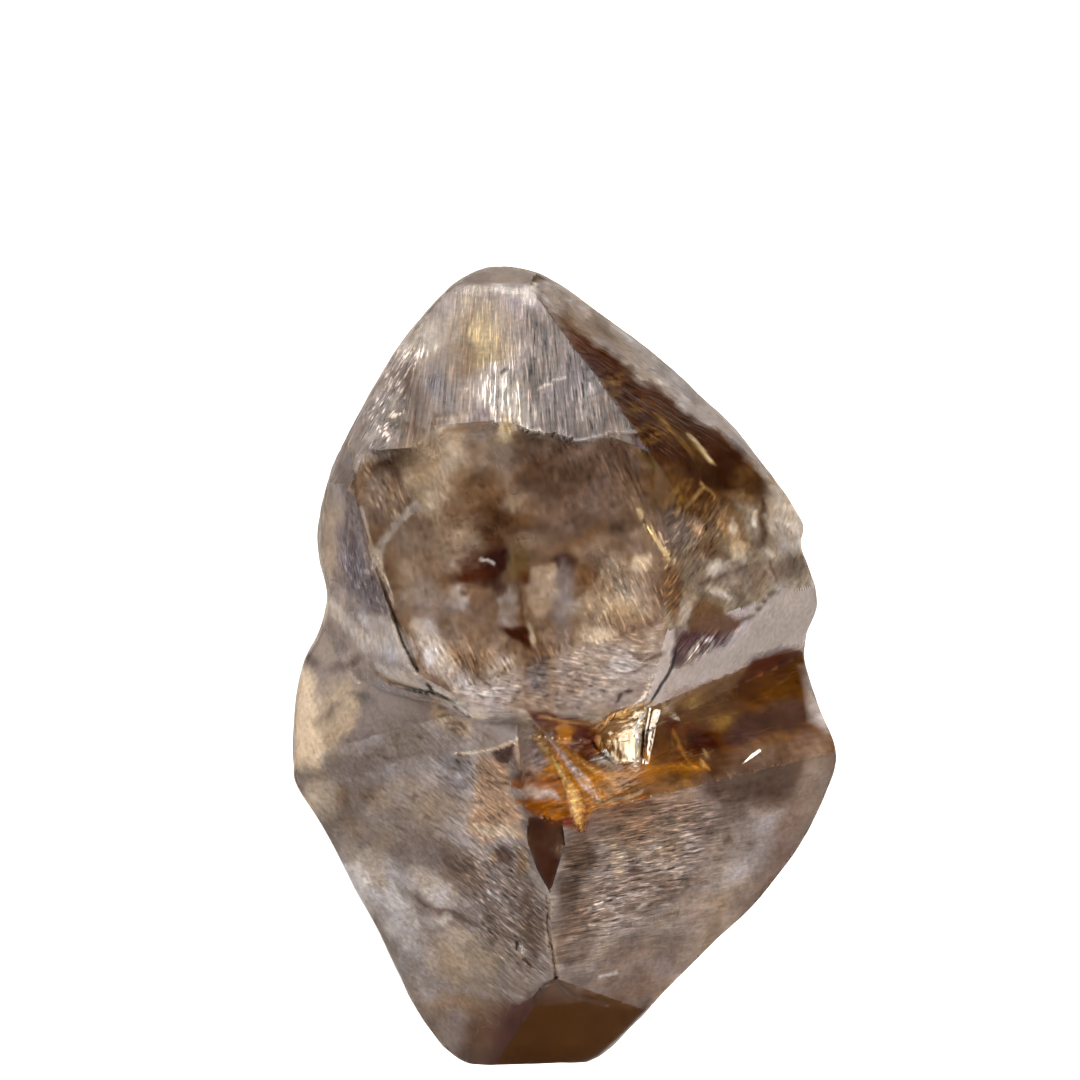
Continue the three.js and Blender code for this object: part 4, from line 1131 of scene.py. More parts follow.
RIGHT_ETCH = [(0.0, -2.2), (1.2, -1.5), (1.9, -1.8), (1.5, -2.7), (0.6, -3.3), (0.0, -3.4)]
# Where growth lines and small etch marks show: what, how strongly the lines, the bright marks (painted
# highlights, the sparkle of etched facets) and the dark marks show, softness in mm, shape as for the areas
MARKS = [
    ("plate", 0.45, 0.4, 0.35, 0.2, [(-1.3, 4.65), (-0.4, 4.65), (0.9, 2.8), (-0.6, 2.95), (-1.2, 3.3)]),
    ("plate, right", 1.1, 0.6, 0.8, 0.15, [(-0.5, 4.4), (0.0, 4.1), (0.45, 3.5), (0.9, 2.85), (-0.5, 2.95)]),
    ("plate, middle", 0.9, 1.3, 0.5, 0.12, (-0.75, 3.4, 0.3, 0.42, 0)),
    ("bevel", 0.9, 1.4, 0.7, 0.1,
     [(-2.1, 3.95), (-1.6, 3.9), (-1.9, 3.4), (-1.95, 2.75), (-2.35, 2.65), (-2.45, 3.1)]),
    ("bevel, corner", 0.9, 1.4, 0.6, 0.06, (-2.46, 2.62, 0.12, 0.25, 15)),
    ("clear face, middle", 0.2, 0.15, 0.3, 0.2, (-1.1, 1.5, 0.75, 0.9, 0)),
    ("clear face, right", 0.5, 0.25, 0.5, 0.2, (0.25, 2.3, 0.7, 0.5, 0)),
    ("dome", 0.3, 0.4, 0.45, 0.15, (0.7, 0.7, 0.5, 0.75, 0)),
    ("dome, low", 0.35, 0.4, 0.7, 0.2, (-0.5, 0.0, 1.2, 0.45, -8)),
    ("hollow at the crack", 0.35, 0.5, 0.55, 0.08, (-2.2, 2.05, 0.22, 0.4, 15)),
    ("blue hollow", 0.6, 0.8, 0.8, 0.08, (-2.45, 1.15, 0.2, 0.5, 30)),
    ("left brown", 0.5, 0.3, 0.8, 0.08, (-2.7, 2.0, 0.12, 0.5, 12)),
    ("gold strip", 0.8, 1.3, 0.9, 0.04, (1.12, 1.55, 0.08, 0.4, 28)),
    ("facet under the ridge", 0.5, 1.0, 0.8, 0.04, (1.28, 0.9, 0.13, 0.3, 0)),
    ("hairs", 0.8, 1.1, 0.4, 0.08,
     [(0.15, 4.0), (0.6, 3.75), (1.2, 3.2), (1.35, 2.7), (1.0, 2.75), (0.45, 3.5)]),
    ("shoulder", 0.7, 0.6, 0.8, 0.1, (1.6, 1.7, 0.4, 0.4, 0)),
    ("flank", 0.45, 0.15, 0.45, 0.15,
     [(0.1, 4.6), (0.7, 3.8), (1.7, 3.05), (2.45, 2.3), (3.2, 1.5), (2.2, 3.2)]),
    ("jagged edge", 0.6, 1.2, 0.7, 0.04, (1.7, 0.25, 0.4, 0.12, 25)),
    ("golden window", 1.0, 1.0, 0.8, 0.02, GOLD_WINDOW),
    ("window, low", 1.0, 1.5, 0.8, 0.04, (0.65, -1.05, 0.25, 0.14, 10)),
    ("lower left, away from the middle", 0.15, 0.05, 0.15, 0.3,
     [(-3.6, 0.2), (-1.7, -0.4), (-1.6, -1.6), (-1.6, -2.8), (-0.9, -3.8), (-0.6, -5.2), (-3.6, -5.2)]),
    ("lower right, away from the middle", 0.15, 0.05, 0.15, 0.3,
     [(1.9, -1.0), (3.6, -0.8), (3.6, -5.2), (0.2, -5.2), (0.1, -3.8), (1.5, -3.1), (2.1, -2.2)]),
    ("left hollow", 1.1, 0.8, 1.0, 0.15, LEFT_HOLLOW),
    ("right etch", 1.0, 0.7, 0.9, 0.15, RIGHT_ETCH),
    ("peach", 0.5, 0.4, 0.7, 0.04, [(-1.2, -1.1), (-0.7, -1.1), (-0.65, -2.2), (-1.1, -2.15)]),
    ("orange tan", 0.8, 0.4, 0.8, 0.06, (0.7, -1.6, 0.5, 0.2, 0)),
    ("gap", 0.3, 0.3, 0.4, 0.04,
     [(-0.5, -0.5), (0.3, -0.68), (0.3, -1.0), (0.8, -1.3), (0.2, -2.0), (-0.6, -1.7)]),
]


def under_gloss(colour, owner):
    """The skin colour that gives the eye this colour on each face, in the studio's light."""
    veil, gain = np.array([LIT.get(name, USUAL_LIT) for name in NAMES]).T[:, owner, None]
    return np.maximum((tone(PALETTE.get(colour, colour)) - veil) / gain, 0.002)


def off_shape(shape, x, y):
    """Signed distance to an outline or an oval: below zero inside."""
    if isinstance(shape, list):
        return within(shape, x, y)
    cx, cy, a, b, turn = shape
    c, s = math.cos(math.radians(turn)), math.sin(math.radians(turn))
    u, v = (x - cx) * c + (y - cy) * s, (y - cy) * c - (x - cx) * s
    return (np.hypot(u / a, v / b) - 1) * min(a, b)


def tuft_strokes():
    """Each tuft as strokes, strewn over its oval and each a little different."""
    rng = np.random.default_rng(17)
    for what, colour, strength, count, width, (cx, cy, a, b, turn), length, run in TUFTS:
        c, s = math.cos(math.radians(turn)), math.sin(math.radians(turn))
        for _ in range(count):
            out, way = math.sqrt(rng.random()), rng.random() * math.tau
            u, v = a * out * math.cos(way), b * out * math.sin(way)
            x, y = cx + u * c - v * s, cy + u * s + v * c
            lean, half = math.radians(run + rng.normal(0, 10)), 0.5 * length * rng.uniform(0.5, 1.4)
            dx, dy, bow = half * math.cos(lean), half * math.sin(lean), 0.12 * half * rng.normal()
            line = [(x - dx, y - dy), (x - bow * math.sin(lean), y + bow * math.cos(lean)), (x + dx, y + dy)]
            yield what, colour, strength * rng.uniform(0.5, 1.0), width, None, line


def paint(skin, frost, owner, colour, mask, dullness):
    skin += (under_gloss(colour, owner) - skin) * mask[:, None]
    if dullness is not None:
        frost += (dullness - frost) * mask


def skin_of(p, normals, owner):
    """Linear colour and dullness of the skin, and how strongly its lines, pale marks (painted highlights) and
    dark marks show.
    """
    x, y, _ = p.T
    drift = ease(clouds(p, 1.1, 21), -0.5, 0.5)[:, None]
    numbers = np.arange(len(NAMES))[:, None]
    first, second = (np.array([under_gloss(finish(name, column), number)[0]
                               for name, number in zip(NAMES, numbers)])[owner] for column in (0, 1))
    skin = first + (second - first) * drift
    warp = np.stack([clouds(p, 0.45, k, 3) for k in (41, 45, 49)], -1)
    patchy = 0.75 * clouds(p + 0.12 * warp, 0.55, 22, 5) + 0.35 * chips((p + 0.05 * warp)[:, :2], 0.28, 51)
    patchy += 0.35 * clouds(p + 0.04 * warp, 0.16, 53, 3) + 0.2 * chips((p + 0.05 * warp)[:, :2], 0.12, 52)
    patchy = by_face(owner, 8) * patchy
    warmth = by_face(owner, 8) * 0.25 * clouds(p + 0.1 * warp, 0.3, 57, 3)
    frost = by_face(owner, 2) * (1 + 0.15 * clouds(p, 0.5, 23))
    sway = np.stack([0.09 * noise(p, 0.42, k) + 0.055 * noise(p, 0.15, k + 1) + 0.03 * noise(p, 0.07, k + 7)
                     for k in (24, 26)])
    on_front = ease(normals[:, 2], 0.02, 0.2)
    for _, colour, strength, soft, dullness, shape in AREAS:
        wx, wy = (x, y) + sway * min(1, 0.2 + soft / 0.12)
        mask = strength * on_front * (1 - ease(off_shape(shape, wx, wy), -soft, soft))
        paint(skin, frost, owner, colour, mask, dullness)
    for blade in BLADES:
        # Each blade is painted brighter towards the end it runs to: painted light
        lit = 0.8 + 0.35 * ease(along([blade[3], blade[4]], x, y)[1], 0.2, 0.9)
        mask = on_front * (1 - ease(within(blade_outline(blade), x, y), -0.008, 0.008))
        skin += (lit[:, None] * under_gloss(blade[0], owner) - skin) * mask[:, None]
        frost += (0.3 - frost) * mask
    for _, colour, strength, width, dullness, *lines in [*tuft_strokes(), *STROKES]:
        held = max(width, THINNEST)
        for line in lines:
            (left, low), (right, high) = np.min(line, 0) - 4 * held, np.max(line, 0) + 4 * held
            near = np.nonzero((x > left) & (x < right) & (y > low) & (y < high))[0]
            distance, _ = along(line, *((x, y) + 0.15 * sway)[:, near])
            fade = 1 - ease(distance, 0.4 * held, 1.3 * held)
            mask = np.zeros(len(x))
            mask[near] = strength * math.sqrt(width / held) * on_front[near] * fade
            paint(skin, frost, owner, colour, mask, dullness)
    skin *= np.exp(patchy[:, None] * np.array([0.85, 1.0, 1.2]) + warmth[:, None] * np.array([0.5, 0, -1]))
    drawn = by_face(owner, 7) * (0.5 + 0.5 * ease(clouds(p, 0.6, 28), -0.6, 0.4))
    marks = drawn[:, None] * np.array([1, 0.3, 0.3])
    wx, wy = (x, y) + sway
    for _, lines, pale, dark, soft, shape in MARKS:
        mask = on_front * (1 - ease(off_shape(shape, wx, wy), -soft, soft))
        marks += ((lines, pale, dark) - marks) * mask[:, None]
    return np.clip(skin, 0.002, 0.95), np.clip(frost, 0, 1), marks


def stone_points(cells):
    """Points and triangles of the stone in the plan, and the face that each triangle belongs to."""
    directions, quads = wrapped_grid(cells)
    points = meet_surface(crowd_front(directions))
    reach = 0.5 * spacing(points, quads)
    points, on_edge = draw_to_edges(points, reach)
    normals = corner_normals(points, quads)
    points, on_line = draw_to_lines(points, normals, reach, CUT_LINES)
    triangles = split(points, quads, on_edge | on_line)
    return points, corner_normals(points, quads), triangles, face_under(points[triangles].mean(1))


def relieved(points, normals):
    """The points with the relief of growth, etching and breaks added."""
    owner = face_under(points)
    across, along_it = growth_lines(points, owner)
    _, _, marks = skin_of(points, normals, owner)
    free = ease(points[:, 2], -REST_DEPTH, -REST_DEPTH + 0.1)
    turned_away = ease(-normals[:, 2], -0.1, 0.2)
    high = etch_relief(points, owner, across, along_it, marks[:, 0])
    high = free * (high + turned_away * (terraces(points) - trigons(points[:, 0], points[:, 1])))
    moved = points + normals * high[:, None]
    moved[:, 2] += ease(normals[:, 2], 0.15, 0.4) * ease(points[:, 2], -0.2, 0.3) * front_relief(points)
    return moved


# ================================================================================================
# Materials
# ================================================================================================
def tone(hex_colour):
    """An sRGB hex colour as linear light."""
    values = [int(hex_colour[k:k + 2], 16) / 255 for k in (1, 3, 5)]
    return np.array([v / 12.92 if v <= 0.04045 else ((v + 0.055) / 1.055) ** 2.4 for v in values])


def rgba(hex_colour):
    return (*tone(hex_colour), 1.0)


def add(tree, kind, settings=None, **inputs):
    """Adds a node, sets its properties, and sets or links its inputs, named or numbered as in i0.

    A socket links, and so does a node, by its first output. Anything else sets.
    """
    node = tree.nodes.new("ShaderNode" + kind)
    for name, value in (settings or {}).items():
        setattr(node, name, value)
    for name, value in inputs.items():
        key = int(name[1:]) if name[0] == "i" and name[1:].isdigit() else name.replace("_", " ")
        if isinstance(value, bpy.types.Node):
            value = value.outputs[0]
        if isinstance(value, bpy.types.NodeSocket):
            tree.links.new(value, node.inputs[key])
        else:
            node.inputs[key].default_value = value
    return node


def new_material(name):
    material = bpy.data.materials.new(name)
    material.use_nodes = True
    material.node_tree.nodes.clear()
    return material, material.node_tree


DIAMOND_IOR = 2.417
SEE_THROUGH = 0.72                 # share of the light that goes in; the etched skin scatters the rest
BROWN, BROWN_PER_M = (0.76, 0.62, 0.44, 1.0), 400.0      # what the crystal lets through, and how strongly


def etched_brown_diamond():
    """Brown diamond as the melt left it: see-through, with an adamantine shine where a face stayed smooth."""
    material, tree = new_material("etched_brown_diamond")
    skin, frost, grain, marks = (add(tree, "Attribute", {"attribute_name": name})
                                 for name in ("skin", "frost", "grain", "marks"))
    etch, pale, dark = add(tree, "SeparateXYZ", Vector=marks.outputs["Vector"]).outputs
    place = add(tree, "TexCoord")
    lines = add(tree, "TexNoise", Vector=grain.outputs["Vector"], Scale=1.0, Detail=2.0)
    specks = add(tree, "TexNoise", Vector=grain.outputs["Vector"], Scale=2.3, Detail=1.0)
    fine = add(tree, "TexNoise", Vector=place.outputs["Object"], Scale=1 / (0.06 * MM), Detail=2.0)
    lined = add(tree, "MapRange", Value=lines, From_Min=0.3, From_Max=0.7, To_Min=-1.0, To_Max=1.0)
    drawn = add(tree, "Math", {"operation": "MULTIPLY"}, i0=lined, i1=etch)
    grit = add(tree, "MapRange", Value=fine, From_Min=0.3, From_Max=0.7, To_Min=0.78, To_Max=1.22)
    shade = add(tree, "Math", {"operation": "MULTIPLY_ADD"}, i0=drawn, i1=0.4, i2=grit)
    # Pale specks lift the colour up to 3.4 times: painted highlights, the sparkle of etched facets
    for share, low, high, gain in ((pale, 0.58, 0.68, 2.4), (dark, 0.42, 0.34, -0.75)):
        mark = add(tree, "MapRange", Value=specks, From_Min=low, From_Max=high, To_Max=gain)
        shade = add(tree, "Math", {"operation": "MULTIPLY_ADD"}, i0=mark, i1=share, i2=shade)
    shade = add(tree, "Math", {"operation": "MAXIMUM"}, i0=shade, i1=0.08)
    colour = add(tree, "VectorMath", {"operation": "SCALE"}, i0=skin.outputs["Color"], Scale=shade)
    cut = add(tree, "Bump", Height=drawn, Distance=0.006 * MM)
    bump = add(tree, "Bump", Height=fine, Distance=0.008 * MM, Normal=cut, Strength=frost.outputs["Fac"])
    rough = add(tree, "MapRange", Value=frost.outputs["Fac"], To_Min=0.04, To_Max=0.6)
    shader = add(tree, "BsdfPrincipled", Base_Color=colour, IOR=DIAMOND_IOR,
                 Roughness=rough, Normal=bump, Transmission_Weight=SEE_THROUGH)
    brown = add(tree, "VolumeAbsorption", Color=BROWN, Density=BROWN_PER_M)
    add(tree, "OutputMaterial", Surface=shader, Volume=brown)
    return material


# ================================================================================================
# Pieces
# ================================================================================================
def mesh_piece(name, points, faces, material, slot):
    """A piece made of points in mm and of faces that all have the same number of corners."""
    mesh = bpy.data.meshes.new(name)
    mesh.vertices.add(len(points))
    mesh.vertices.foreach_set("co", (np.asarray(points) * MM).astype(np.float32).ravel())
    faces = np.asarray(faces, np.int32)
    mesh.loops.add(faces.size)
    mesh.loops.foreach_set("vertex_index", faces.ravel())
    mesh.polygons.add(len(faces))
    mesh.polygons.foreach_set("loop_start", np.arange(len(faces), dtype=np.int32) * faces.shape[1])
    mesh.update(calc_edges=True)
    mesh.validate()
    mesh.polygons.foreach_set("use_smooth", np.ones(len(faces), bool))
    piece = bpy.data.objects.new(name, mesh)
    bpy.context.scene.collection.objects.link(piece)
    mesh.materials.append(material)
    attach(piece, "root")
    return piece


def place_in_frame(points):
    """From the plan's origin to the CAD's: over the middle of the footprint, with the back at z = 0."""
    low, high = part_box(STONE)
    middle = (np.array(low) + np.array(high)) / 2 / MM
    own = (points.min(0) + points.max(0)) / 2
    return np.array([middle[0] - own[0], middle[1] - own[1], -points[:, 2].min()])


def store(piece, name, values):
    """Saves a value, a vector or a colour for each corner of a piece's faces."""
    mesh, values = piece.data, np.asarray(values, np.float32)
    if name == "skin":
        values = np.concatenate([values, np.ones((len(values), 1), np.float32)], 1)
        mesh.color_attributes.new(name, "FLOAT_COLOR", "CORNER").data.foreach_set("color", values.ravel())
    elif values.ndim == 2:
        mesh.attributes.new(name, "FLOAT_VECTOR", "CORNER").data.foreach_set("vector", values.ravel())
    else:
        mesh.attributes.new(name, "FLOAT", "CORNER").data.foreach_set("value", values)


GRAIN_FINENESS = 1.7      # waves of the grain's pattern to one growth line
GRAIN_APART = 3.7         # moves the pattern from face to face, so that no two faces share it


def make_stone():
    """The stone, with its relief and with the colours and marks of its skin on every corner of its faces."""
    points, normals, triangles, face_of = stone_points(GRID_CELLS)
    moved = relieved(points, normals)
    shift = place_in_frame(moved)
    stone = mesh_piece("etched_stone", moved + shift, triangles, etched_brown_diamond(), "brown_diamond")
    # each face colours its own side of an edge
    pairs, corner = np.unique(triangles * len(NAMES) + face_of[:, None], return_inverse=True)
    p, n, owner = points[pairs // len(NAMES)], normals[pairs // len(NAMES)], pairs % len(NAMES)
    skin, frost, marks = skin_of(p, n, owner)
    across, along_it = growth_lines(p, owner)
    grain = np.stack([across / by_face(owner, 4) * GRAIN_FINENESS,
                      along_it / by_face(owner, 5) * GRAIN_FINENESS, owner * GRAIN_APART], -1)
    for name, values in (("skin", skin), ("frost", frost), ("marks", marks), ("grain", grain)):
        store(stone, name, values[corner.reshape(-1)])
    stone.data.set_sharp_from_angle(angle=math.radians(SHARP_ANGLE))
    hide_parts(STONE)
    return moved, normals, shift


# ================================================================================================
# Sealed in the crystal, or torn through it, and sheets of painted light
# ================================================================================================
# Silvery cracks, and three painted highlights made like them: one side and the other on the plan, and how far
# above the front, in mm (below zero is sealed in)
CRACKS_AND_GLINTS = [
    # Painted highlights: a white-pink glint on the front, then two white glints just under it
    ([(2.18, -1.2), (2.3, -1.13), (2.42, -1.05)], [(2.2, -1.18), (2.29, -1.09), (2.4, -1.02)], 0.006),
    ([(-0.66, 2.1), (-0.56, 2.1)], [(-0.65, 2.16), (-0.57, 2.15)], -0.06),
    ([(-0.52, 1.54), (-0.38, 1.54)], [(-0.51, 1.59), (-0.38, 1.59)], -0.06),
    ([(-0.9, 3.7), (-0.62, 3.2)], [(-0.74, 3.72), (-0.5, 3.26)], -0.35),
    ([(-1.7, -2.2), (-1.2, -2.6)], [(-1.6, -2.0), (-1.06, -2.42)], -0.4),
    ([(0.9, -2.3), (1.5, -2.1)], [(0.94, -2.12), (1.46, -1.94)], -0.45),
    ([(0.3, 1.3), (0.72, 0.8)], [(0.46, 1.38), (0.84, 0.92)], -0.5),
]
# The upright bar beside the bright facet, in the same way
BAR = [
    ([(1.01, -0.47), (0.975, -0.82), (0.94, -1.18)], [(1.035, -0.47), (1.0, -0.82), (0.96, -1.18)], 0.012),
    ([(1.06, -0.48), (1.02, -0.82), (0.975, -1.19)], [(1.16, -0.51), (1.1, -0.82), (1.02, -1.18)], 0.012),
]
# The bright facet, in the same way: a crumpled film of air under the rim, whose cream and gold are painted
# light, the glow of light refracted through the stone
FOIL = [([(0.42, -0.68), (0.45, -0.93), (0.6, -1.14)], [(0.95, -0.45), (0.94, -0.8), (0.9, -1.16)], 0.01)]
# Sheets stained by iron, under the floor of the gap, in the same way
STAINS = [
    ([(-0.4, -1.3), (0.3, -1.5)], [(-0.36, -1.1), (0.36, -1.32)], -0.16),
    ([(-0.3, -1.75), (0.2, -1.9)], [(-0.3, -1.5), (0.3, -1.66)], -0.12),
    ([(0.35, -1.2), (1.0, -1.15)], [(0.35, -0.9), (1.0, -0.8)], -0.2),
    ([(1.25, -1.15), (1.85, -1.1)], [(1.3, -0.8), (1.9, -0.72)], -0.24),
    ([(1.5, -0.6), (2.1, -0.5)], [(1.5, -0.35), (2.1, -0.22)], -0.3),
    ([(0.5, -1.75), (1.3, -1.6)], [(0.55, -1.58), (1.3, -1.44)], -0.25),
]
CLOUD = (-1.0, 1.6, 0.42, 0.6)      # middle and half widths of the cloud of dark grains, in mm
CLOUD_DEPTH = (0.35, 1.0)
CLOUD_GRAINS = 90


def front_finder(points, normals):
    """Gives the height of the stone's front at any place on the plan."""
    front = points[normals[:, 2] > 0.1]
    tree = KDTree(len(front))
    for k, (x, y, _) in enumerate(front):
        tree.insert((x, y, 0), k)
    tree.balance()
    return lambda x, y: float(np.mean([front[k][2] for _, k, _ in tree.find_n((x, y, 0), 7)]))


def along_line(line, t):
    """The places at shares t of the way along a line."""
    line = np.array(line)
    way = np.linspace(0, 1, len(line))
    return np.stack([np.interp(t, way, line[:, 0]), np.interp(t, way, line[:, 1])], -1)


def sheet(one_side, other_side, lift, height, seed, thick=0.016, rows=22, columns=6):
    """A thin closed sheet that runs between two lines, over or under the front and a little wavy."""
    t, u = np.linspace(0, 1, rows), np.linspace(0, 1, columns)
    a, b = along_line(one_side, t)[:, None], along_line(other_side, t)[:, None]
    plan = (a + (b - a) * u[:, None]).reshape(-1, 2)
    bend = 0.25 * abs(lift) * noise(np.c_[plan, np.full(len(plan), seed)], 0.3, 71)
    z = np.array([height(*q) for q in plan]) + lift + bend
    over, down = np.clip(u, 0.04, 0.96)[None], np.clip(t, 0.03, 0.97)[:, None]
    edge = np.minimum(np.sin(np.pi * over), np.sin(np.pi * down))
    half = 0.5 * thick * np.sqrt(edge).ravel()
    points = np.r_[np.c_[plan, z + half], np.c_[plan, z - half]]
    k = np.arange(rows * columns).reshape(rows, columns)
    top = np.stack([k[:-1, :-1], k[1:, :-1], k[1:, 1:], k[:-1, 1:]], -1).reshape(-1, 4)
    if np.cross(b[0, 0] - a[0, 0], a[-1, 0] - a[0, 0]) > 0:
        top = top[:, ::-1]
    rim = np.r_[k[0, :-1], k[:-1, -1], k[-1, :0:-1], k[:0:-1, 0]]
    after, below = np.roll(rim, -1), len(plan)
    wall = np.stack([rim, after, after + below, rim + below], -1)
    return points, np.r_[top, top[:, ::-1] + below, wall]


def joined(parts):
    """The points and the faces of several meshes as one."""
    points, faces, start = [], [], 0
    for p, f in parts:
        points.append(p)
        faces.append(f + start)
        start += len(p)
    return np.concatenate(points), np.concatenate(faces)


def face_outwards(piece):
    mesh = bmesh.new()
    mesh.from_mesh(piece.data)
    bmesh.ops.recalc_face_normals(mesh, faces=mesh.faces)
    mesh.to_mesh(piece.data)
    mesh.free()


def silvery_crack():
    """A cleavage crack's air film: a painted reflection, near-white where a mirror would shine, with fine
    lines along it.
    """
    material, tree = new_material("silvery_crack")
    place = add(tree, "TexCoord").outputs["Object"]
    streaks = add(tree, "Mapping", Vector=place, Scale=(1 / (0.03 * MM), 1 / (0.3 * MM), 1 / (0.1 * MM)))
    lines = add(tree, "TexNoise", Vector=streaks, Scale=1.0, Detail=3.0)
    spread = add(tree, "MapRange", Value=lines, From_Min=0.35, From_Max=0.65)
    colour = add(tree, "Mix", {"data_type": "RGBA"}, i0=spread, i6=rgba("#a58c72"), i7=rgba("#efe5d8"))
    cut = add(tree, "Bump", Height=lines, Distance=0.01 * MM)
    shader = add(tree, "BsdfPrincipled", Base_Color=colour.outputs[2], Roughness=0.3, Normal=cut)
    add(tree, "OutputMaterial", Surface=shader)
    return material


def golden_foil():
    """Crumpled crack film: cream as a painted reflection of the window lamp, brown as painted shade in its
    folds.
    """
    material, tree = new_material("golden_foil")
    place = add(tree, "TexCoord").outputs["Object"]
    turned = add(tree, "Mapping", Vector=place, Rotation=(0, 0, math.radians(35)),
                 Scale=(1 / (0.05 * MM), 1 / (0.16 * MM), 1 / (0.1 * MM)))
    folds = add(tree, "TexNoise", Vector=turned, Scale=1.0, Detail=3.0)
    wide = add(tree, "TexNoise", Vector=place, Scale=1 / (0.3 * MM), Detail=2.0)
    both = add(tree, "Math", {"operation": "ADD"}, i0=folds, i1=wide)
    across = add(tree, "SeparateXYZ", Vector=place)
    # Darker and browner towards the film's upper left
    upwards = add(tree, "Math", {"operation": "MULTIPLY_ADD"}, i0=across.outputs["X"], i1=-1.2,
                  i2=across.outputs["Y"])
    rust = add(tree, "MapRange", Value=upwards, From_Min=-2.1 * MM, From_Max=-1.3 * MM,
               To_Min=0.25, To_Max=-0.35)
    stained = add(tree, "Math", {"operation": "ADD"}, i0=both, i1=rust)
    spread = add(tree, "MapRange", Value=stained, From_Min=0.84, From_Max=1.2)
    colour = add(tree, "Mix", {"data_type": "RGBA"}, i0=spread, i6=rgba("#4c3214"), i7=rgba("#e4d0b2"))
    cut = add(tree, "Bump", Height=folds, Distance=0.02 * MM)
    shader = add(tree, "BsdfPrincipled", Base_Color=colour.outputs[2], Roughness=0.35, Normal=cut)
    add(tree, "OutputMaterial", Surface=shader)
    return material


def iron_film():
    """Iron oxide dried as a film in old cracks: rusty orange, thicker and browner in patches."""
    material, tree = new_material("iron_oxide_film")
    place = add(tree, "TexCoord").outputs["Object"]
    patches = add(tree, "TexNoise", Vector=place, Scale=1 / (0.15 * MM), Detail=3.0)
    spread = add(tree, "MapRange", Value=patches, From_Min=0.35, From_Max=0.65)
    colour = add(tree, "Mix", {"data_type": "RGBA"}, i0=spread, i6=rgba("#6e3408"), i7=rgba("#c98232"))
    shader = add(tree, "BsdfPrincipled", Base_Color=colour.outputs[2], Roughness=0.5)
    add(tree, "OutputMaterial", Surface=shader)
    return material


def graphite_grains():
    """Graphite and sulphide grains that the crystal closed over: near black, with a dull lustre."""
    material, tree = new_material("graphite_grains")
    place = add(tree, "TexCoord").outputs["Object"]
    flakes = add(tree, "TexNoise", Vector=place, Scale=1 / (0.02 * MM), Detail=2.0)
    rough = add(tree, "MapRange", Value=flakes, To_Min=0.3, To_Max=0.6)
    shader = add(tree, "BsdfPrincipled", Base_Color=rgba("#1a0f08"), Roughness=rough)
    add(tree, "OutputMaterial", Surface=shader)
    return material


def make_sealed(points, normals, shift):
    """What the crystal closed over as it grew, the cracks that run into it, and sheets of painted highlights
    and glow.
    """
    height = front_finder(points, normals)
    silver = silvery_crack()
    for name, rows, material, slot in (("silvery_cracks_and_glints", CRACKS_AND_GLINTS, silver, "feather"),
                                       ("bright_bar", BAR, silver, "feather"),
                                       ("crumpled_film", FOIL, golden_foil(), "iron_stain"),
                                       ("iron_stained_sheets", STAINS, iron_film(), "iron_stain")):
        corners, faces = joined([sheet(*row, height, k) for k, row in enumerate(rows)])
        face_outwards(mesh_piece(name, corners + shift, faces, material, slot))
    rng = np.random.default_rng(5)
    axes = np.array([(1, 0, 0), (-1, 0, 0), (0, 1, 0), (0, -1, 0), (0, 0, 1), (0, 0, -1)])
    sides = np.array([(0, 2, 4), (2, 1, 4), (1, 3, 4), (3, 0, 4), (2, 0, 5), (1, 2, 5), (3, 1, 5), (0, 3, 5)])
    grains = []
    for _ in range(CLOUD_GRAINS):
        out, turn = math.sqrt(rng.random()), rng.random() * math.tau
        x = CLOUD[0] + CLOUD[2] * out * math.cos(turn)
        y = CLOUD[1] + CLOUD[3] * out * math.sin(turn)
        middle = np.array([x, y, height(x, y) - rng.uniform(*CLOUD_DEPTH)])
        radius = rng.uniform(0.012, 0.035) * (1.3 - 0.6 * out)
        grains.append((middle + axes * radius * rng.uniform(0.6, 1.4, (6, 1)), sides))
    corners, faces = joined(grains)
    mesh_piece("dark_grains", corners + shift, faces, graphite_grains(), "dark_cloud")


# ================================================================================================
# Stage, light and camera
# ================================================================================================
def make_floor():
    """A pale sheet that lies flat under the stone and curves up all round, out of every view."""
    material, tree = new_material("matt_white_paper")
    shader = add(tree, "BsdfPrincipled", Base_Color=rgba("#f4f2ef"), Roughness=0.9)
    add(tree, "OutputMaterial", Surface=shader)
    flat, bend, height, sides, rings = 120.0, 90.0, 260.0, 96, 24
    profile = [(flat * k / 6, 0.0) for k in range(1, 7)]
    profile += [(flat + bend * math.sin(a), bend - bend * math.cos(a))
                for a in np.linspace(0, math.pi / 2, rings)[1:]]
    profile.append((flat + bend, height))
    turn = np.linspace(0, 2 * math.pi, sides, endpoint=False)
    points = [(0, 0, 0)] + [(r * math.cos(a), r * math.sin(a), z) for r, z in profile for a in turn]
    faces = [(0, 1 + k, 1 + (k + 1) % sides) for k in range(sides)]
    for ring in range(len(profile) - 1):
        base = 1 + ring * sides
        faces += [(base + k, base + sides + k, base + sides + (k + 1) % sides, base + (k + 1) % sides)
                  for k in range(sides)]
    mesh = bpy.data.meshes.new("paper_sheet")
    mesh.from_pydata([tuple(c * MM for c in p) for p in points], [], faces)
    mesh.polygons.foreach_set("use_smooth", [True] * len(mesh.polygons))
    floor = bpy.data.objects.new("paper_sheet", mesh)
    bpy.context.scene.collection.objects.link(floor)
    mesh.materials.append(material)
    floor.visible_transmission = False
    floor.visible_glossy = False


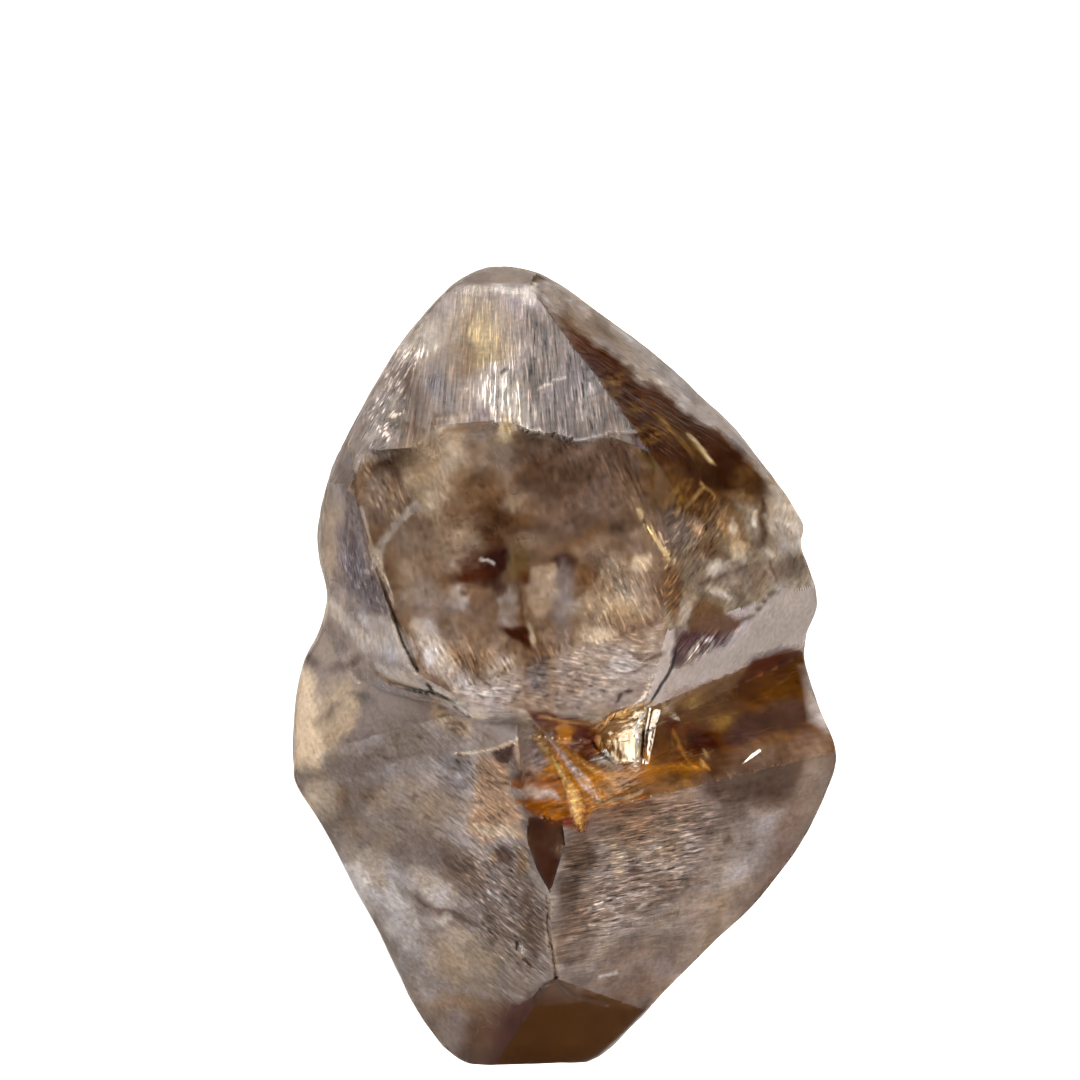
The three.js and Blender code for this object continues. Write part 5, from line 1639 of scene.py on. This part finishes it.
def make_light(name, at, size, power):
    """A round white lamp that looks at the stone, and that its faces don't mirror."""
    light = bpy.data.lights.new(name, "AREA")
    light.shape, light.size, light.energy = "DISK", size * MM, power
    lamp = bpy.data.objects.new(name, light)
    bpy.context.scene.collection.objects.link(lamp)
    lamp.location = Vector(at) * MM
    lamp.rotation_euler = (-lamp.location).to_track_quat("-Z", "Y").to_euler()
    lamp.visible_glossy = False
    lamp.visible_transmission = False


# Sky round the stone: what, angle from straight up, bearing, inner and outer radius in degrees, colour and
# brightness
SKY = [
    ("light from below", 180, 0, 10, 42, "#efe6dc", 1.0),
    ("behind the tip", 72, 104, 8, 30, "#ffffff", 0.9),
    ("right of the band", 108, 338, 8, 30, "#f4f0f8", 0.15),
    ("left wall", 95, 160, 10, 30, "#fff0e0", 0.8),
    ("blue wall", 122, 188, 5, 24, "#b8bcd0", 0.3),
    ("black flag above", 38, 116, 12, 30, "#403020", 0.12),
    ("black flag at the right", 104, 46, 20, 42, "#403020", 0.04),
    ("black flag at the foot", 104, 284, 10, 28, "#403020", 0.05),
    ("black flag at the back", 74, 56, 6, 22, "#403020", 0.05),
    ("black flag in front", 30, 270, 5, 14, "#403020", 0.05),
    ("small lamp", 36, 315, 5, 15, "#fff0dc", 4.0),
]


ROOM, ROOM_BRIGHTNESS = "#dcd6d2", 0.16     # everywhere else


def make_world():
    """A pale studio with bright walls and black flags, which the polished faces mirror."""
    world = bpy.data.worlds.new("studio")
    world.use_nodes = True
    tree = world.node_tree
    tree.nodes.clear()
    way = add(tree, "TexCoord").outputs["Generated"]
    sky = add(tree, "RGB").outputs[0]
    sky.default_value = (*ROOM_BRIGHTNESS * tone(ROOM), 1)
    for _, polar, bearing, inner, outer, colour, brightness in SKY:
        p, b = math.radians(polar), math.radians(bearing)
        axis = (math.sin(p) * math.cos(b), math.sin(p) * math.sin(b), math.cos(p))
        near = add(tree, "VectorMath", {"operation": "DOT_PRODUCT"}, i0=way, i1=axis)
        mask = add(tree, "MapRange", {"interpolation_type": "SMOOTHSTEP"},
                   Value=near.outputs["Value"], From_Min=math.cos(math.radians(outer)),
                   From_Max=math.cos(math.radians(inner)))
        sky = add(tree, "Mix", {"data_type": "RGBA"}, i0=mask, i6=sky,
                  i7=(*brightness * tone(colour), 1)).outputs[2]
    shade = add(tree, "Background", Color=sky, Strength=1.0)
    add(tree, "OutputWorld", Surface=shade)
    bpy.context.scene.world = world


FRAME_WIDTH = 13.47                # of the stone's plan, from one side of the picture to the other, in mm
VIEW_MIDDLE = (-0.31, 1.57)
LENS, SENSOR = 200.0, 36.0         # in mm
NEAR, FAR = 0.001, 10.0            # what the camera sees, in metres


def make_camera():
    """Looks straight down on the front, with the tip of the stone at the top of the picture."""
    data = bpy.data.cameras.new("camera")
    data.lens, data.sensor_width = LENS, SENSOR
    data.clip_start, data.clip_end = NEAR, FAR
    camera = bpy.data.objects.new("camera", data)
    bpy.context.scene.collection.objects.link(camera)
    distance = FRAME_WIDTH / SENSOR * LENS
    camera.location = Vector((*VIEW_MIDDLE, REST_DEPTH + distance)) * MM
    camera.rotation_euler = (0, 0, 0)
    bpy.context.scene.camera = camera


def look():
    settings = bpy.context.scene.view_settings
    settings.view_transform = "Standard"
    settings.look = "None"


make_camera()
make_sealed(*make_stone())
make_floor()
make_light("window", (-20, 113, 110), 90, 0.42)
make_light("fill", (-30, -110, 110), 100, 0.25)
make_light("side", (65, -37, 130), 60, 0.32)
make_world()
look()
